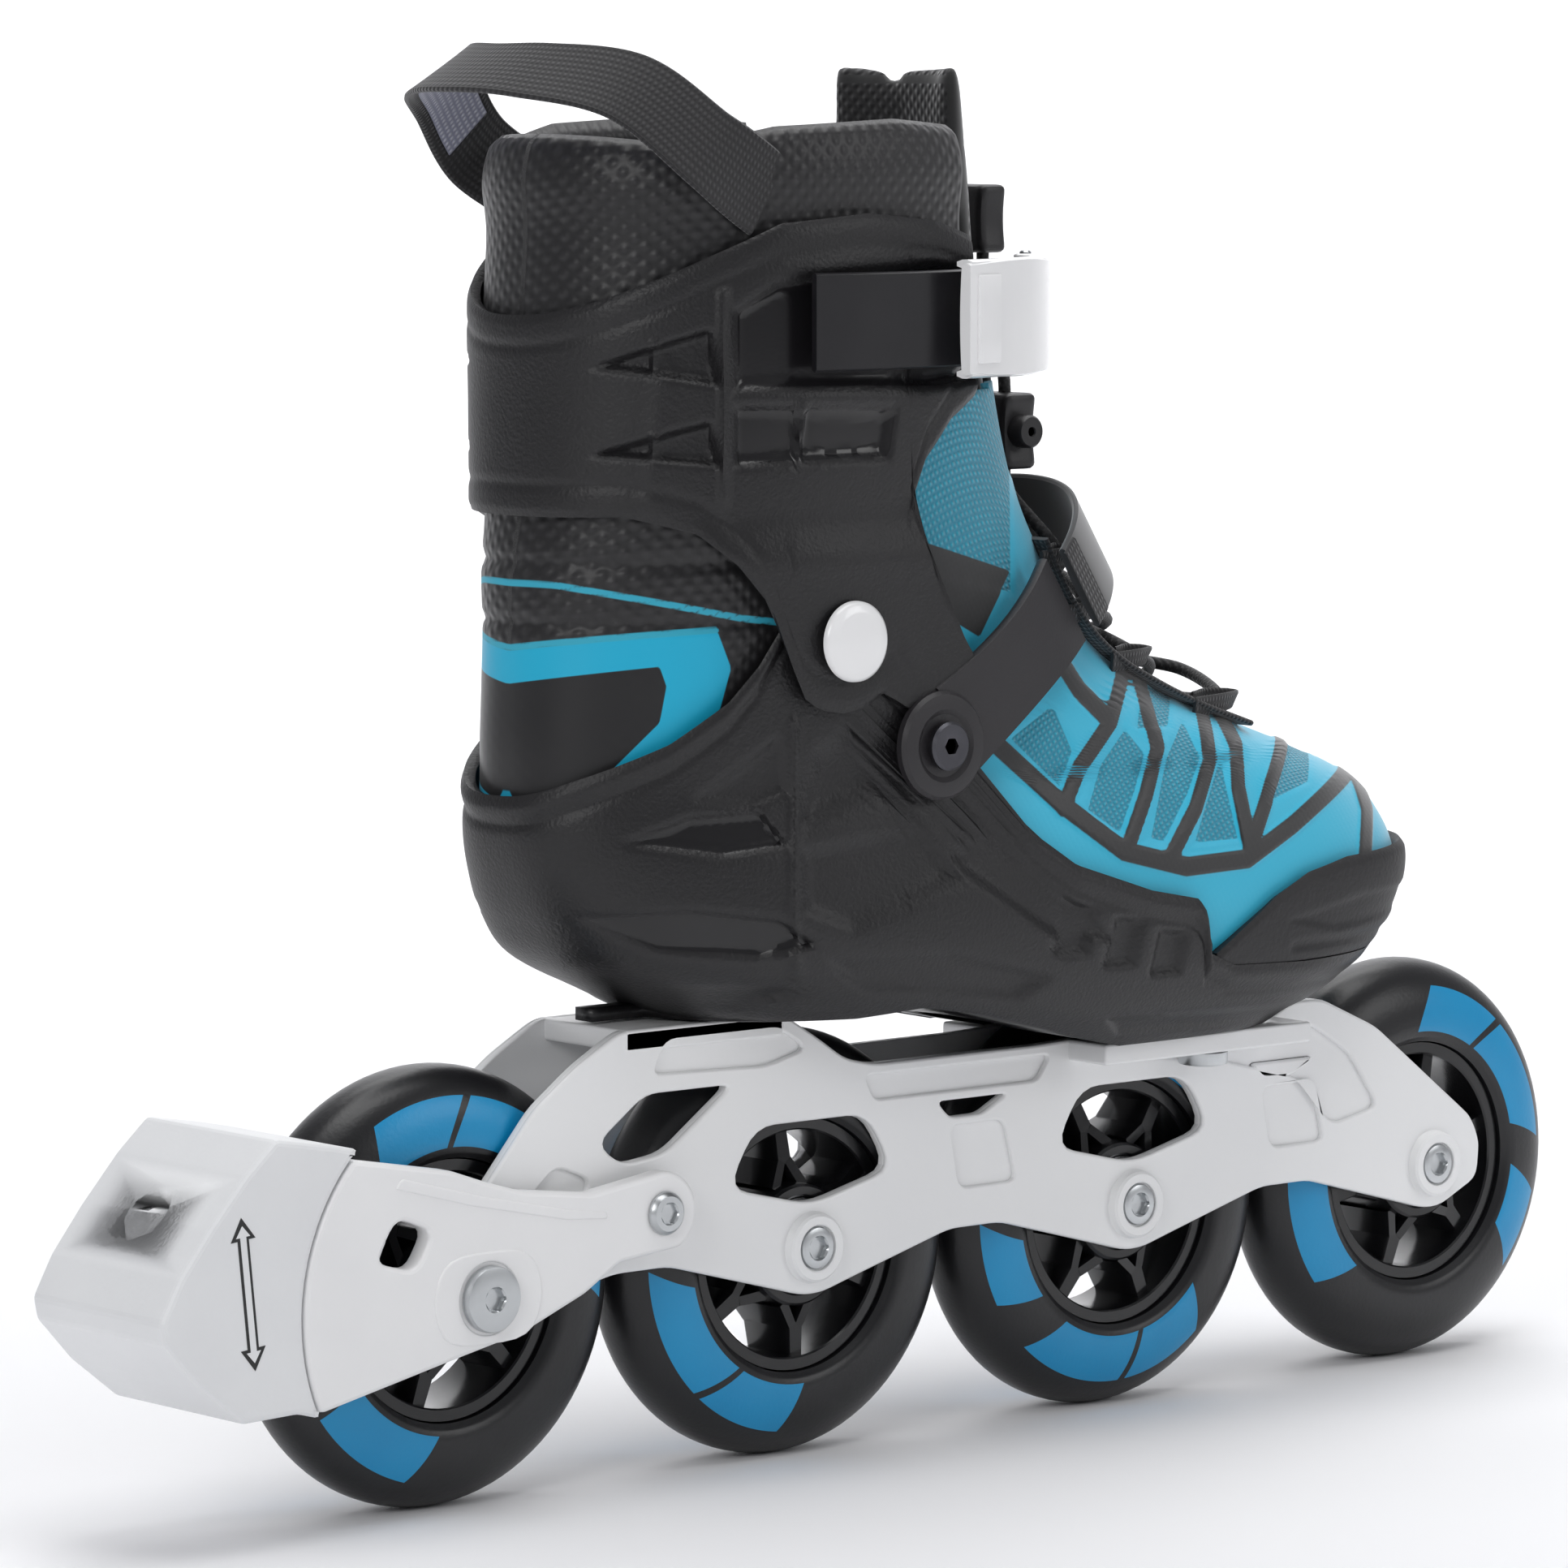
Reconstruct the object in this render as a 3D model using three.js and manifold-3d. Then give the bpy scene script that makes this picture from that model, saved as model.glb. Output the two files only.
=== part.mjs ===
// A right-foot inline skate: four wheels in an aluminium frame, a heel brake, and a hinged-cuff boot.
// Millimetres. +X points to the toe, +Y to the inner side of the foot, +Z up.
// The wheels stand on z = 0 and the frame's middle plane is y = 0.
// Sizes are first written from the rear axle; the last group centres the whole skate over its origin.
import * as THREE from 'three';
import { mergeVertices } from 'three/addons/utils/BufferGeometryUtils.js';
import Module from 'manifold-3d';

const wasm = await Module();
wasm.setup();

// ---- Driving dimensions ----

const GAP = 0.3; // left between pieces that touch
const WALL_SINK = 2; // how far a cutting tool runs past the face it cuts
const WIDE = 80; // half the width of a tool that cuts right across the skate

// Wheels
const WHEEL_D = 100;
const WHEEL_R = WHEEL_D / 2;
const AXLE_COUNT = 4;
const FRAME_LENGTH = 305; // first axle to last axle
const AXLE_PITCH = FRAME_LENGTH / (AXLE_COUNT - 1);
const TYRE_W = 24;
const TYRE_BASE_R = 32; // where the tyre is widest
const TYRE_SEAT_R = 29.6; // hub rim radius under the tyre
const TYRE_CROWN = 1.15; // 1 is a straight-sided crown, 2 is an elliptical one
const HUB_RIM_W = 19;
const HUB_RIM_T = 3;
const HUB_SPOKES = 6;
const HUB_SPOKE_W = 5;
const HUB_SPOKE_T = 14;
const HUB_BOSS_WALL = 3.2;
const BEARING_R = 11;
const BEARING_BORE_R = 4;
const BEARING_W = 7;
const SPACER_L = 10;
const SPACER_R = 6.2;
const AXLE_R = 3.6;
const AXLE_CLEAR = 0.35;
const AXLE_HEAD_R = 5;
const AXLE_HEAD_T = 2.2;
const AXLE_SOCKET_R = 2.4;
const WHEEL_SIDES = 24; // flats round a tyre or a hub rim
const BEARING_SIDES = 12;

// Frame
const WALL_T = 3.2;
const WALL_IN = TYRE_W / 2 + 1; // inner face of a side wall, from the middle plane
const WALL_OUT = WALL_IN + WALL_T;
const TIP_R = 11; // end of the wall round an outer axle
const BOSS_R = 8;
const BOSS_T = 2.4; // boss height outside the wall, level with the bolt head
const REAR_MOUNT = { x0: 46, x1: 93, z: 105 };
const FRONT_MOUNT = { x0: 182, x1: 264, z: 91.4 };
const MOUNT_T = 5;
const FLANGE_OUT = 29; // outer edge of a front mounting flange
const RAIL_TOP = 91;
const RAIL_LOW = 80.5;
const LOWER_RAIL_TOP = 59;
const LOWER_RAIL_BOTTOM = 49.8;
const POCKET_DEPTH = 1;
const BOLT_R = 4;
const BOLT_HEAD_R = 6;
const BOLT_HEAD_T = 3.2;
const REAR_BOLT_X = (REAR_MOUNT.x0 + REAR_MOUNT.x1) / 2;
const FRONT_BOLT_X = 220;
const FRONT_BOLT_Y = WALL_OUT + BOLT_HEAD_R + GAP;
const FRONT_GRIP = 8; // how far a front bolt reaches into the sole
const BOLT_SOCKET_R = 2.6;

// Heel brake: the pad turns a little about the rear axle to set its height
const BRAKE_IN = WALL_OUT + BOSS_T + GAP;
const BRAKE_T = 5.4;
const BRAKE_OUT = BRAKE_IN + BRAKE_T;
const LIP_OUT = BRAKE_IN + 2.4; // outer face of the arm's tongue inside the pad
const SEAM_R = 50.5; // seam between arm and pad, an arc about the rear axle
const BRIDGE_IN_R = 54.4;
const BRIDGE_OUT_R = 58;
const BRIDGE_FROM = 150; // degrees about the rear axle, from +X towards +Z
const BRIDGE_TO = 178;
const PAD_TILT = 5; // degrees each way
const SCREW_ANGLE = 162; // the pad screw's line, about the rear axle
const SCREW_DEPTH = 66; // the screw's seat, from the rear axle
const SLOT_HALF = 3.2;
const SEAM_SIDES = 32;
const BRAKE_HEAD_R = 7.5;
const BRAKE_HEAD_T = 2.4;
const BRAKE_BOLT_HEAD_T = 1.5;
const BRAKE_BOLT = { x: AXLE_PITCH / 2, z: 64 };
const PAD_SCREW_R = 2.4;
const PAD_HOLE_R = 6.3;

// Boot: every layer follows one last, moved outwards or inwards
const LINER_T = 7;
const UPPER_T = 2.4;
const SHELL_GAP = 0.4;
const SHELL_T = 3.6;
const SHELL_OUT = SHELL_GAP + SHELL_T;
const CUFF_T = 3;
const CUFF_GAP = 0.8; // cuff to liner above the shell
const SOLE_T = 6; // over the rear mount
const WHEEL_ROOM = 2; // round the third wheel, which rises into the sole
const FLOOR_FRONT_Z = WHEEL_D + WHEEL_ROOM + 3; // top of the sole over the third wheel
const LINER_FLOOR_T = 4;
const INSOLE_T = 4;
const PIVOT = { x: 87, z: 193 };
const EAR_R = 15;
const RIVET_R = 4;
const RIVET_HEAD_R = 9.2;
const THROAT = 22; // half the width of the opening that the tongue fills
const TONGUE_T = 5;
const CUFF_TOP = 289;
const COLLAR_TOP = 313;
const TONGUE_TOP = 321;
// Closures
const STRAP_Z = 265; // height of the cuff strap and its buckle
const STRAP_W = 20;
const STRAP_T = 1.6;
const BASE_W = 24;
const BASE_T = 1.8;
const LEVER_W = 27;
const LEVER_T = 2.4;
const LEVER_SIDE = 2;
const PIN_R = 1.4;
const EAR_WALL = 0.9; // wall of an ear round the lever's pin
const LEVER_FRONT = 27; // degrees from the toe, at the lever's hinge
const LEVER_REAR = 77;
const PAWL_ANGLE = 46;
const STRAP_LIFT = CUFF_GAP + CUFF_T + 0.8 + STRAP_T / 2; // middle of the strap above the last
const BASE_LIFT = STRAP_LIFT + STRAP_T / 2 + GAP + BASE_T / 2;
const PIN_LIFT = BASE_LIFT + 3;
const LEVER_LIFT = PIN_LIFT + PIN_R + GAP + EAR_WALL + GAP + LEVER_T / 2;
const INSTEP = { x: 113, z: 168 }; // the instep strap's screw
const INSTEP_SLOPE = 0.64; // rise of the instep strap over its run forwards
const INSTEP_SCREW_R = 2.5;
const INSTEP_LIFT = SHELL_OUT + 2; // middle of an instep plate above the last
const INSTEP_W = 24;
const PLATE_T = 2.6;
const PLATE_END = 52; // degrees from the toe where plate and strap meet

// Laces
const LACE_D = 3;
const LACE_CLEAR = 2.9; // the laces' underside above the last, over the tongue
const LACE_LIFT = LACE_CLEAR + LACE_D / 2;
const LOOP_W = 7;
const LOOP_ROWS = [170, 182, 194, 207]; // heights of the lace loops, from the toes upwards
const LOCK = { x: 172.5, z: 236, half: 3.4, w: 20, h: 18, d: 10 };
const BUTTON_R = 4;
const BUTTON_OUT = 3; // how far the button stands out of the lock
const PULLER = { x: 165.4, z: 278, w: 16, h: 16, d: 8 };

// ---- Solids ----

function solid(geometry) {
  const bare = geometry.index ? geometry.toNonIndexed() : geometry.clone();
  bare.deleteAttribute('normal');
  bare.deleteAttribute('uv');
  const merged = mergeVertices(bare, 1e-3);
  const made = new wasm.Mesh({
    numProp: 3,
    vertProperties: merged.attributes.position.array,
    triVerts: new Uint32Array(merged.index.array),
  });
  return new wasm.Manifold(made);
}

function geometryOf(made) {
  const mesh = made.getMesh();
  const geometry = new THREE.BufferGeometry();
  geometry.setAttribute('position', new THREE.BufferAttribute(mesh.vertProperties, 3));
  geometry.setIndex(new THREE.BufferAttribute(mesh.triVerts, 1));
  const flat = geometry.toNonIndexed();
  flat.computeVertexNormals();
  return flat;
}

function join(first, ...others) {
  return geometryOf(others.reduce((whole, one) => whole.add(solid(one)), solid(first)));
}

function cut(first, ...tools) {
  return geometryOf(tools.reduce((whole, one) => whole.subtract(solid(one)), solid(first)));
}

function common(first, ...others) {
  return geometryOf(others.reduce((whole, one) => whole.intersect(solid(one)), solid(first)));
}

// A box from its lowest to its highest corner.
function block(low, high) {
  const [w, d, h] = high.map((value, i) => value - low[i]);
  const box = new THREE.BoxGeometry(w, d, h);
  return box.translate(low[0] + w / 2, low[1] + d / 2, low[2] + h / 2);
}

// A cylinder across the skate, centred on (x, z).
function crossPin(radius, y0, y1, x, z, sides = 16) {
  const pin = new THREE.CylinderGeometry(radius, radius, y1 - y0, sides);
  return pin.translate(x, (y0 + y1) / 2, z);
}

function uprightPin(radius, z0, z1, x, y, sides = 12) {
  const pin = new THREE.CylinderGeometry(radius, radius, z1 - z0, sides);
  return pin.rotateX(Math.PI / 2).translate(x, y, (z0 + z1) / 2);
}

// A closed profile of (radius, y) points turned about the axis across the skate.
function turned(profile, x, z, sides) {
  const points = [...profile, profile[0]].map(([r, y]) => new THREE.Vector2(r, y));
  return new THREE.LatheGeometry(points, sides).translate(x, 0, z);
}

// A side-view outline in X and Z, given thickness from y0 to y1.
function slab(outline, y0, y1) {
  const shape = outline instanceof THREE.Shape ? outline : polygon(outline);
  const depth = y1 - y0;
  const made = new THREE.ExtrudeGeometry(shape, { depth, bevelEnabled: false, curveSegments: 4 });
  return made.rotateX(Math.PI / 2).translate(0, y1, 0);
}

function polygon(points) {
  return new THREE.Shape(points.map(([x, z]) => new THREE.Vector2(x, z)));
}

// A polygon whose corners are rounded with the given radius.
function rounded(points, radius) {
  const shape = new THREE.Shape();
  points.forEach(([x, z], i) => {
    const corner = new THREE.Vector2(x, z);
    const before = new THREE.Vector2(...points.at(i - 1));
    const after = new THREE.Vector2(...points[(i + 1) % points.length]);
    const arrive = towards(corner, before, radius);
    const leave = towards(corner, after, radius);
    if (i === 0) shape.moveTo(arrive.x, arrive.y);
    else shape.lineTo(arrive.x, arrive.y);
    shape.quadraticCurveTo(corner.x, corner.y, leave.x, leave.y);
  });
  shape.closePath();
  return shape;
}

function towards(from, to, distance) {
  const reach = Math.min(distance, from.distanceTo(to) * 0.45);
  return from.clone().add(to.clone().sub(from).setLength(reach));
}

// Points of a circle's arc in the side view, angles in degrees from +X towards +Z.
function arc(cx, cz, radius, from, to, steps) {
  return Array.from({ length: steps + 1 }, (_, i) => {
    const angle = THREE.MathUtils.degToRad(from + ((to - from) * i) / steps);
    return [cx + radius * Math.cos(angle), cz + radius * Math.sin(angle)];
  });
}

// A band of one width and thickness along a curve. widthAt gives the direction of its width.
function band(points, width, thickness, widthAt, steps) {
  const curve = new THREE.CatmullRomCurve3(points, false, 'centripetal');
  const made = new THREE.BoxGeometry(1, 1, 1, steps, 1, 1);
  const place = made.attributes.position;
  for (let i = 0; i < place.count; i++) {
    const t = place.getX(i) + 0.5;
    const at = curve.getPointAt(t);
    const along = curve.getTangentAt(t);
    const across = widthAt(t).clone();
    across.addScaledVector(along, -across.dot(along)).normalize();
    const out = along.clone().cross(across);
    at.addScaledVector(across, place.getY(i) * width);
    at.addScaledVector(out, place.getZ(i) * thickness);
    place.setXYZ(i, at.x, at.y, at.z);
  }
  return made;
}

// ---- The last: one horizontal outline for each height ----

// Height, back, front, place of the greatest width, half width, squareness of the outline
const LAST = [
  [88, 96, 246, 190, 27, 2.5],
  [100, 78, 266, 198, 40, 2.6],
  [110, 60, 277, 202, 45, 2.7],
  [120, 40, 283, 203, 47, 2.8],
  [130, 32, 285, 202, 47.5, 2.8],
  [140, 27.5, 282, 195, 46.5, 2.7],
  [150, 25, 273, 182, 44.5, 2.6],
  [160, 25, 250, 160, 42, 2.5],
  [170, 25, 222, 138, 41, 2.4],
  [182, 25.5, 198, 118, 40, 2.3],
  [195, 26, 185, 106, 40, 2.2],
  [208, 26.5, 176, 99, 40.5, 2.2],
  [222, 29, 167, 95, 42.5, 2.2],
  [245, 30, 159, 93, 44, 2.2],
  [270, 30, 155, 92, 44, 2.2],
  [300, 33, 151, 91, 43, 2.2],
  [324, 36, 148, 91, 42, 2.2],
];
const LAST_SIDES = 20;

// Reads one column of the last at a height, with a smooth curve through its rows.
function lastAt(column, z) {
  const last = LAST.length - 1;
  const height = THREE.MathUtils.clamp(z, LAST[0][0], LAST[last][0]);
  const i = Math.min(LAST.findIndex((row, k) => k === last || height < LAST[k + 1][0]), last - 1);
  const rows = [i - 1, i, i + 1, i + 2].map((k) => LAST[THREE.MathUtils.clamp(k, 0, last)]);
  const [a, b, c, d] = rows;
  const span = c[0] - b[0];
  const t = (height - b[0]) / span;
  const slopeB = ((c[column] - a[column]) / (c[0] - a[0])) * span;
  const slopeC = ((d[column] - b[column]) / (d[0] - b[0])) * span;
  const rise = c[column] - b[column];
  const curve = (slopeB - rise) * t * (1 - t) ** 2 + (rise - slopeC) * t ** 2 * (1 - t);
  return b[column] + rise * t + curve;
}

// The point of the last at an angle (0 at the toe, 90 at the inner side) and height, moved outwards.
function lastPoint(angle, z, grow) {
  const c = Math.cos(angle);
  const s = Math.sin(angle);
  const middle = lastAt(3, z);
  const front = lastAt(2, z - Math.max(grow, -LINER_T) * 0.8) + grow * 0.8;
  const reach = c > 0 ? front - middle : middle - (lastAt(1, z) - grow);
  const power = 2 / lastAt(5, z);
  const half = lastAt(4, z) + grow;
  const x = middle + reach * Math.sign(c) * Math.abs(c) ** power;
  const y = half * Math.sign(s) * Math.abs(s) ** power;
  return new THREE.Vector3(x, y, z);
}

// The solid inside the last, moved outwards by growAt(z). It reaches the rows just past two heights,
// so that every layer has its corners at the same heights.
function lastSolid(low, high, growAt) {
  const rows = LAST.map(([z]) => z);
  const first = Math.max(rows.findLastIndex((z) => z <= low), 0);
  const last = rows.findIndex((z, i) => z >= high || i === rows.length - 1);
  const levels = rows.slice(first, last + 1);
  const made = new THREE.CylinderGeometry(1, 1, 1, LAST_SIDES, levels.length - 1);
  made.rotateX(Math.PI / 2);
  const place = made.attributes.position;
  for (let i = 0; i < place.count; i++) {
    const z = levels[Math.round((place.getZ(i) + 0.5) * (levels.length - 1))];
    const radius = Math.hypot(place.getX(i), place.getY(i));
    const angle = Math.atan2(place.getY(i), place.getX(i));
    const point = lastPoint(angle, z, growAt(z));
    if (radius < 0.5) point.set(lastAt(3, z), 0, z);
    place.setXYZ(i, point.x, point.y, point.z);
  }
  return made;
}

// The underside of the boot in the side view.
function soleLine() {
  return [
    [10, 112],
    [34, 109],
    [46, REAR_MOUNT.z + GAP],
    [97, REAR_MOUNT.z + GAP],
    [113, 107],
    [132, 104],
    [150, 99.5],
    [166, 95],
    [FRONT_MOUNT.x0, FRONT_MOUNT.z + GAP],
    [242, FRONT_MOUNT.z + GAP],
    [256, 96],
    [268, 102],
    [282, 109.5],
    [300, 113],
  ];
}

// A tool for everything above the underside.
function aboveSole() {
  return slab([...soleLine(), [300, 340], [10, 340]], -WIDE, WIDE);
}

// A tool for everything above the inside of the sole, raised by a thickness.
function aboveFloor(raise) {
  const rear = REAR_MOUNT.z + GAP + SOLE_T + raise;
  const front = FLOOR_FRONT_Z + raise;
  const line = [
    [10, rear],
    [100, rear],
    [150, (rear + front) / 2],
    [195, front],
    [262, front],
    [300, front + 7],
  ];
  return slab([...line, [300, 340], [10, 340]], -WIDE, WIDE);
}

const shellGrow = () => SHELL_OUT;
const softGrow = () => 0;

// The cuff lies over the shell's ears below, and close to the liner above.
function cuffInner(z) {
  const rise = THREE.MathUtils.smoothstep(z, PIVOT.z + EAR_R + 2, PIVOT.z + EAR_R + 14);
  return THREE.MathUtils.lerp(SHELL_OUT + GAP * 2, CUFF_GAP, rise);
}

// ---- Meshes ----

const skate = new THREE.Group();

function add(name, geometry, colour, roughness, metalness = 0) {
  const material = new THREE.MeshStandardMaterial({ color: colour, roughness, metalness });
  const mesh = new THREE.Mesh(geometry, material);
  mesh.name = name;
  skate.add(mesh);
}

const WHITE = 0xf1f0ee;
const ZINC = 0xb9bdc0;
const CHARCOAL = 0x3a393b;
const SKY = 0x2fd3ee;
const BLACK = 0x1b1a1b;

// ---- Wheels ----

function tyre(x) {
  const outer = [];
  const steps = 3;
  for (let i = -steps; i <= steps; i++) {
    const share = 1 - Math.abs(i) / steps;
    const r = TYRE_BASE_R + (WHEEL_R - TYRE_BASE_R) * share;
    const half = (TYRE_W / 2) * (1 - share ** TYRE_CROWN) ** (1 / TYRE_CROWN);
    outer.push([r, half * Math.sign(i)]);
  }
  const seat = HUB_RIM_W / 2 - 0.5;
  const inner = [
    [TYRE_SEAT_R + GAP, seat],
    [TYRE_SEAT_R + GAP, -seat],
  ];
  return turned([...outer, ...inner], x, WHEEL_R, WHEEL_SIDES);
}

function spoke(x, turn) {
  const inner = BEARING_R + HUB_BOSS_WALL - 1;
  const outer = TYRE_SEAT_R - 1;
  const half = HUB_SPOKE_W / 2;
  const outline = [
    [inner, -HUB_SPOKE_W],
    [outer, -half],
    [outer, half],
    [inner, HUB_SPOKE_W],
  ];
  const made = slab(outline, -HUB_SPOKE_T / 2, HUB_SPOKE_T / 2);
  return made.rotateY(turn).translate(x, 0, WHEEL_R);
}

function hub(x, turn) {
  const rim = turned(
    [
      [TYRE_SEAT_R - HUB_RIM_T, -HUB_RIM_W / 2],
      [TYRE_SEAT_R, -HUB_RIM_W / 2],
      [TYRE_SEAT_R, HUB_RIM_W / 2],
      [TYRE_SEAT_R - HUB_RIM_T, HUB_RIM_W / 2],
    ],
    x,
    WHEEL_R,
    WHEEL_SIDES,
  );
  const bossHalf = SPACER_L / 2 + BEARING_W;
  const bossR = BEARING_R + HUB_BOSS_WALL;
  const seatR = BEARING_R + GAP;
  const boss = turned(
    [
      [seatR, -bossHalf],
      [bossR, -bossHalf],
      [bossR, bossHalf],
      [seatR, bossHalf],
    ],
    x,
    WHEEL_R,
    BEARING_SIDES,
  );
  const spokes = Array.from({ length: HUB_SPOKES }, (_, i) =>
    spoke(x, turn + (i * 2 * Math.PI) / HUB_SPOKES),
  );
  return join(rim, boss, ...spokes);
}

function bearing(x, side) {
  const near = (side * SPACER_L) / 2;
  const far = side * (SPACER_L / 2 + BEARING_W);
  const y0 = Math.min(near, far);
  const y1 = Math.max(near, far);
  const profile = [
    [BEARING_BORE_R, y0],
    [BEARING_R, y0],
    [BEARING_R, y1],
    [BEARING_BORE_R, y1],
  ];
  return turned(profile, x, WHEEL_R, BEARING_SIDES);
}

function spacer(x) {
  const half = SPACER_L / 2 - GAP;
  const profile = [
    [BEARING_BORE_R, -half],
    [SPACER_R, -half],
    [SPACER_R, half],
    [BEARING_BORE_R, half],
  ];
  return turned(profile, x, WHEEL_R, 10);
}

// A socket-head bolt from its head face at y = face, driven from the outer (-Y) side.
function crossBolt(x, z, headR, headT, shankR, face, end, socketR) {
  const head = crossPin(headR, face, face + headT, x, z, 12);
  const shank = crossPin(shankR, face + headT - 0.5, end, x, z, 10);
  const socket = crossPin(socketR, face - WALL_SINK, face + headT * 0.7, x, z, 6);
  return cut(join(head, shank), socket);
}

function axleBolt(index, x) {
  const carriesBrake = index === 0;
  const face = carriesBrake ? -BRAKE_OUT - BRAKE_HEAD_T - GAP : -WALL_OUT - BOSS_T;
  const headR = carriesBrake ? BRAKE_HEAD_R : AXLE_HEAD_R;
  const headT = carriesBrake ? BRAKE_HEAD_T : AXLE_HEAD_T;
  const end = carriesBrake ? BRAKE_OUT : WALL_OUT + BOSS_T - 0.4;
  return crossBolt(x, WHEEL_R, headR, headT, AXLE_R, face, end, AXLE_SOCKET_R);
}

for (let i = 0; i < AXLE_COUNT; i++) {
  const x = i * AXLE_PITCH;
  const number = i + 1;
  add('tyre_' + number, tyre(x), 0x232223, 0.55);
  add('hub_' + number, hub(x, i * 0.35), 0x141414, 0.25);
  add('bearing_' + number + '_right', bearing(x, -1), 0xb0322a, 0.4, 0.6);
  add('bearing_' + number + '_left', bearing(x, 1), 0xb0322a, 0.4, 0.6);
  add('bearing_spacer_' + number, spacer(x), ZINC, 0.35, 1);
  add('axle_bolt_' + number, axleBolt(i, x), ZINC, 0.3, 1);
}

// ---- Frame ----

// The outline of a side wall: up the rear strut, along the mounts and down to the front axle.
function wallOutline() {
  const mountRear = REAR_MOUNT;
  const mountFront = FRONT_MOUNT;
  const lower = [];
  for (let i = AXLE_COUNT - 1; i > 0; i--) {
    const axle = i * AXLE_PITCH;
    const middle = axle - AXLE_PITCH / 2;
    if (i < AXLE_COUNT - 1) lower.push([axle + 12, WHEEL_R - 8.5]);
    lower.push([axle + 3, WHEEL_R - TIP_R], [axle - 3, WHEEL_R - TIP_R]);
    lower.push([axle - 12, WHEEL_R - 8.5], [middle + 8, LOWER_RAIL_BOTTOM]);
    lower.push([middle - 8, LOWER_RAIL_BOTTOM]);
  }
  return polygon([
    ...arc(0, WHEEL_R, TIP_R, 250, 135, 6),
    [20, 89.5],
    [32, 98],
    [mountRear.x0 - 3, mountRear.z - 1],
    [mountRear.x0, mountRear.z],
    [mountRear.x1, mountRear.z],
    [103, 99],
    [112, 93],
    [121, RAIL_TOP],
    [mountFront.x0 - 10, RAIL_TOP],
    [mountFront.x0, mountFront.z],
    [mountFront.x1 - 14, mountFront.z],
    [mountFront.x1 - 8, mountFront.z + 3],
    [mountFront.x1 + 2, mountFront.z + 3],
    [FRAME_LENGTH - 20, 86],
    ...arc(FRAME_LENGTH, WHEEL_R, 17, 42, 10, 3),
    [FRAME_LENGTH + 16, 45],
    ...lower,
  ]);
}

// The window above a middle wheel's axle.
function wheelWindow(x) {
  const outline = [
    [x - 25, 66],
    [x - 17, RAIL_LOW - 1],
    [x + 17, RAIL_LOW - 1],
    [x + 25, 66],
    [x, LOWER_RAIL_TOP + 0.5],
  ];
  return rounded(outline, 5);
}

// The sliver of light under the top rail, between two wheels.
function crescent(middle) {
  return polygon([
    [middle - 12, RAIL_LOW],
    [middle - 8, RAIL_LOW - 4.5],
    [middle + 2, RAIL_LOW - 4.5],
    [middle + 10, RAIL_LOW],
  ]);
}

// Tools that pierce both walls: windows over the wheels, and the openings between them.
function wallWindows() {
  const outlines = [rounded([[38, 80], [52, 90], [78, 90], [58, 76], [45, 74.5]], 4)];
  for (let i = 1; i < AXLE_COUNT - 1; i++) {
    outlines.push(wheelWindow(i * AXLE_PITCH), crescent((i + 0.5) * AXLE_PITCH));
  }
  return outlines.map((outline) => slab(outline, -WIDE, WIDE));
}

// The shallow hollow pressed into the outer face between two wheels.
function pocket(middle) {
  const outline = rounded([
    [middle - 8, RAIL_LOW - 6],
    [middle + 9, RAIL_LOW - 6],
    [middle + 13, LOWER_RAIL_TOP],
    [middle - 5, LOWER_RAIL_TOP],
  ], 3);
  return slab(outline, -WALL_OUT - WALL_SINK, -WALL_OUT + POCKET_DEPTH);
}

function boss(x, side, radius) {
  const y0 = side > 0 ? WALL_OUT - 1 : -WALL_OUT - BOSS_T;
  const y1 = side > 0 ? WALL_OUT + BOSS_T : -WALL_OUT + 1;
  return crossPin(radius, y0, y1, x, WHEEL_R, 12);
}

// The rear mount is a plate across both walls. The third wheel rises between the front mounts,
// so these are two flanges on the outside of the walls.
function mountPlates() {
  const rear = block(
    [REAR_MOUNT.x0, -WALL_OUT, REAR_MOUNT.z - MOUNT_T],
    [REAR_MOUNT.x1, WALL_OUT, REAR_MOUNT.z],
  );
  const { x0, x1, z } = FRONT_MOUNT;
  const right = block([x0, -FLANGE_OUT, z - MOUNT_T], [x1 - 14, -WALL_IN, z]);
  const left = block([x0, WALL_IN, z - MOUNT_T], [x1 - 14, FLANGE_OUT, z]);
  return [rear, right, left];
}

// Where the three mounting bolts stand, and how far each reaches into the sole.
const MOUNT_BOLTS = [
  ['mount_bolt_rear', REAR_BOLT_X, 0, REAR_MOUNT, SOLE_T - 1],
  ['mount_bolt_front_right', FRONT_BOLT_X, -FRONT_BOLT_Y, FRONT_MOUNT, FRONT_GRIP],
  ['mount_bolt_front_left', FRONT_BOLT_X, FRONT_BOLT_Y, FRONT_MOUNT, FRONT_GRIP],
];

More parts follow.
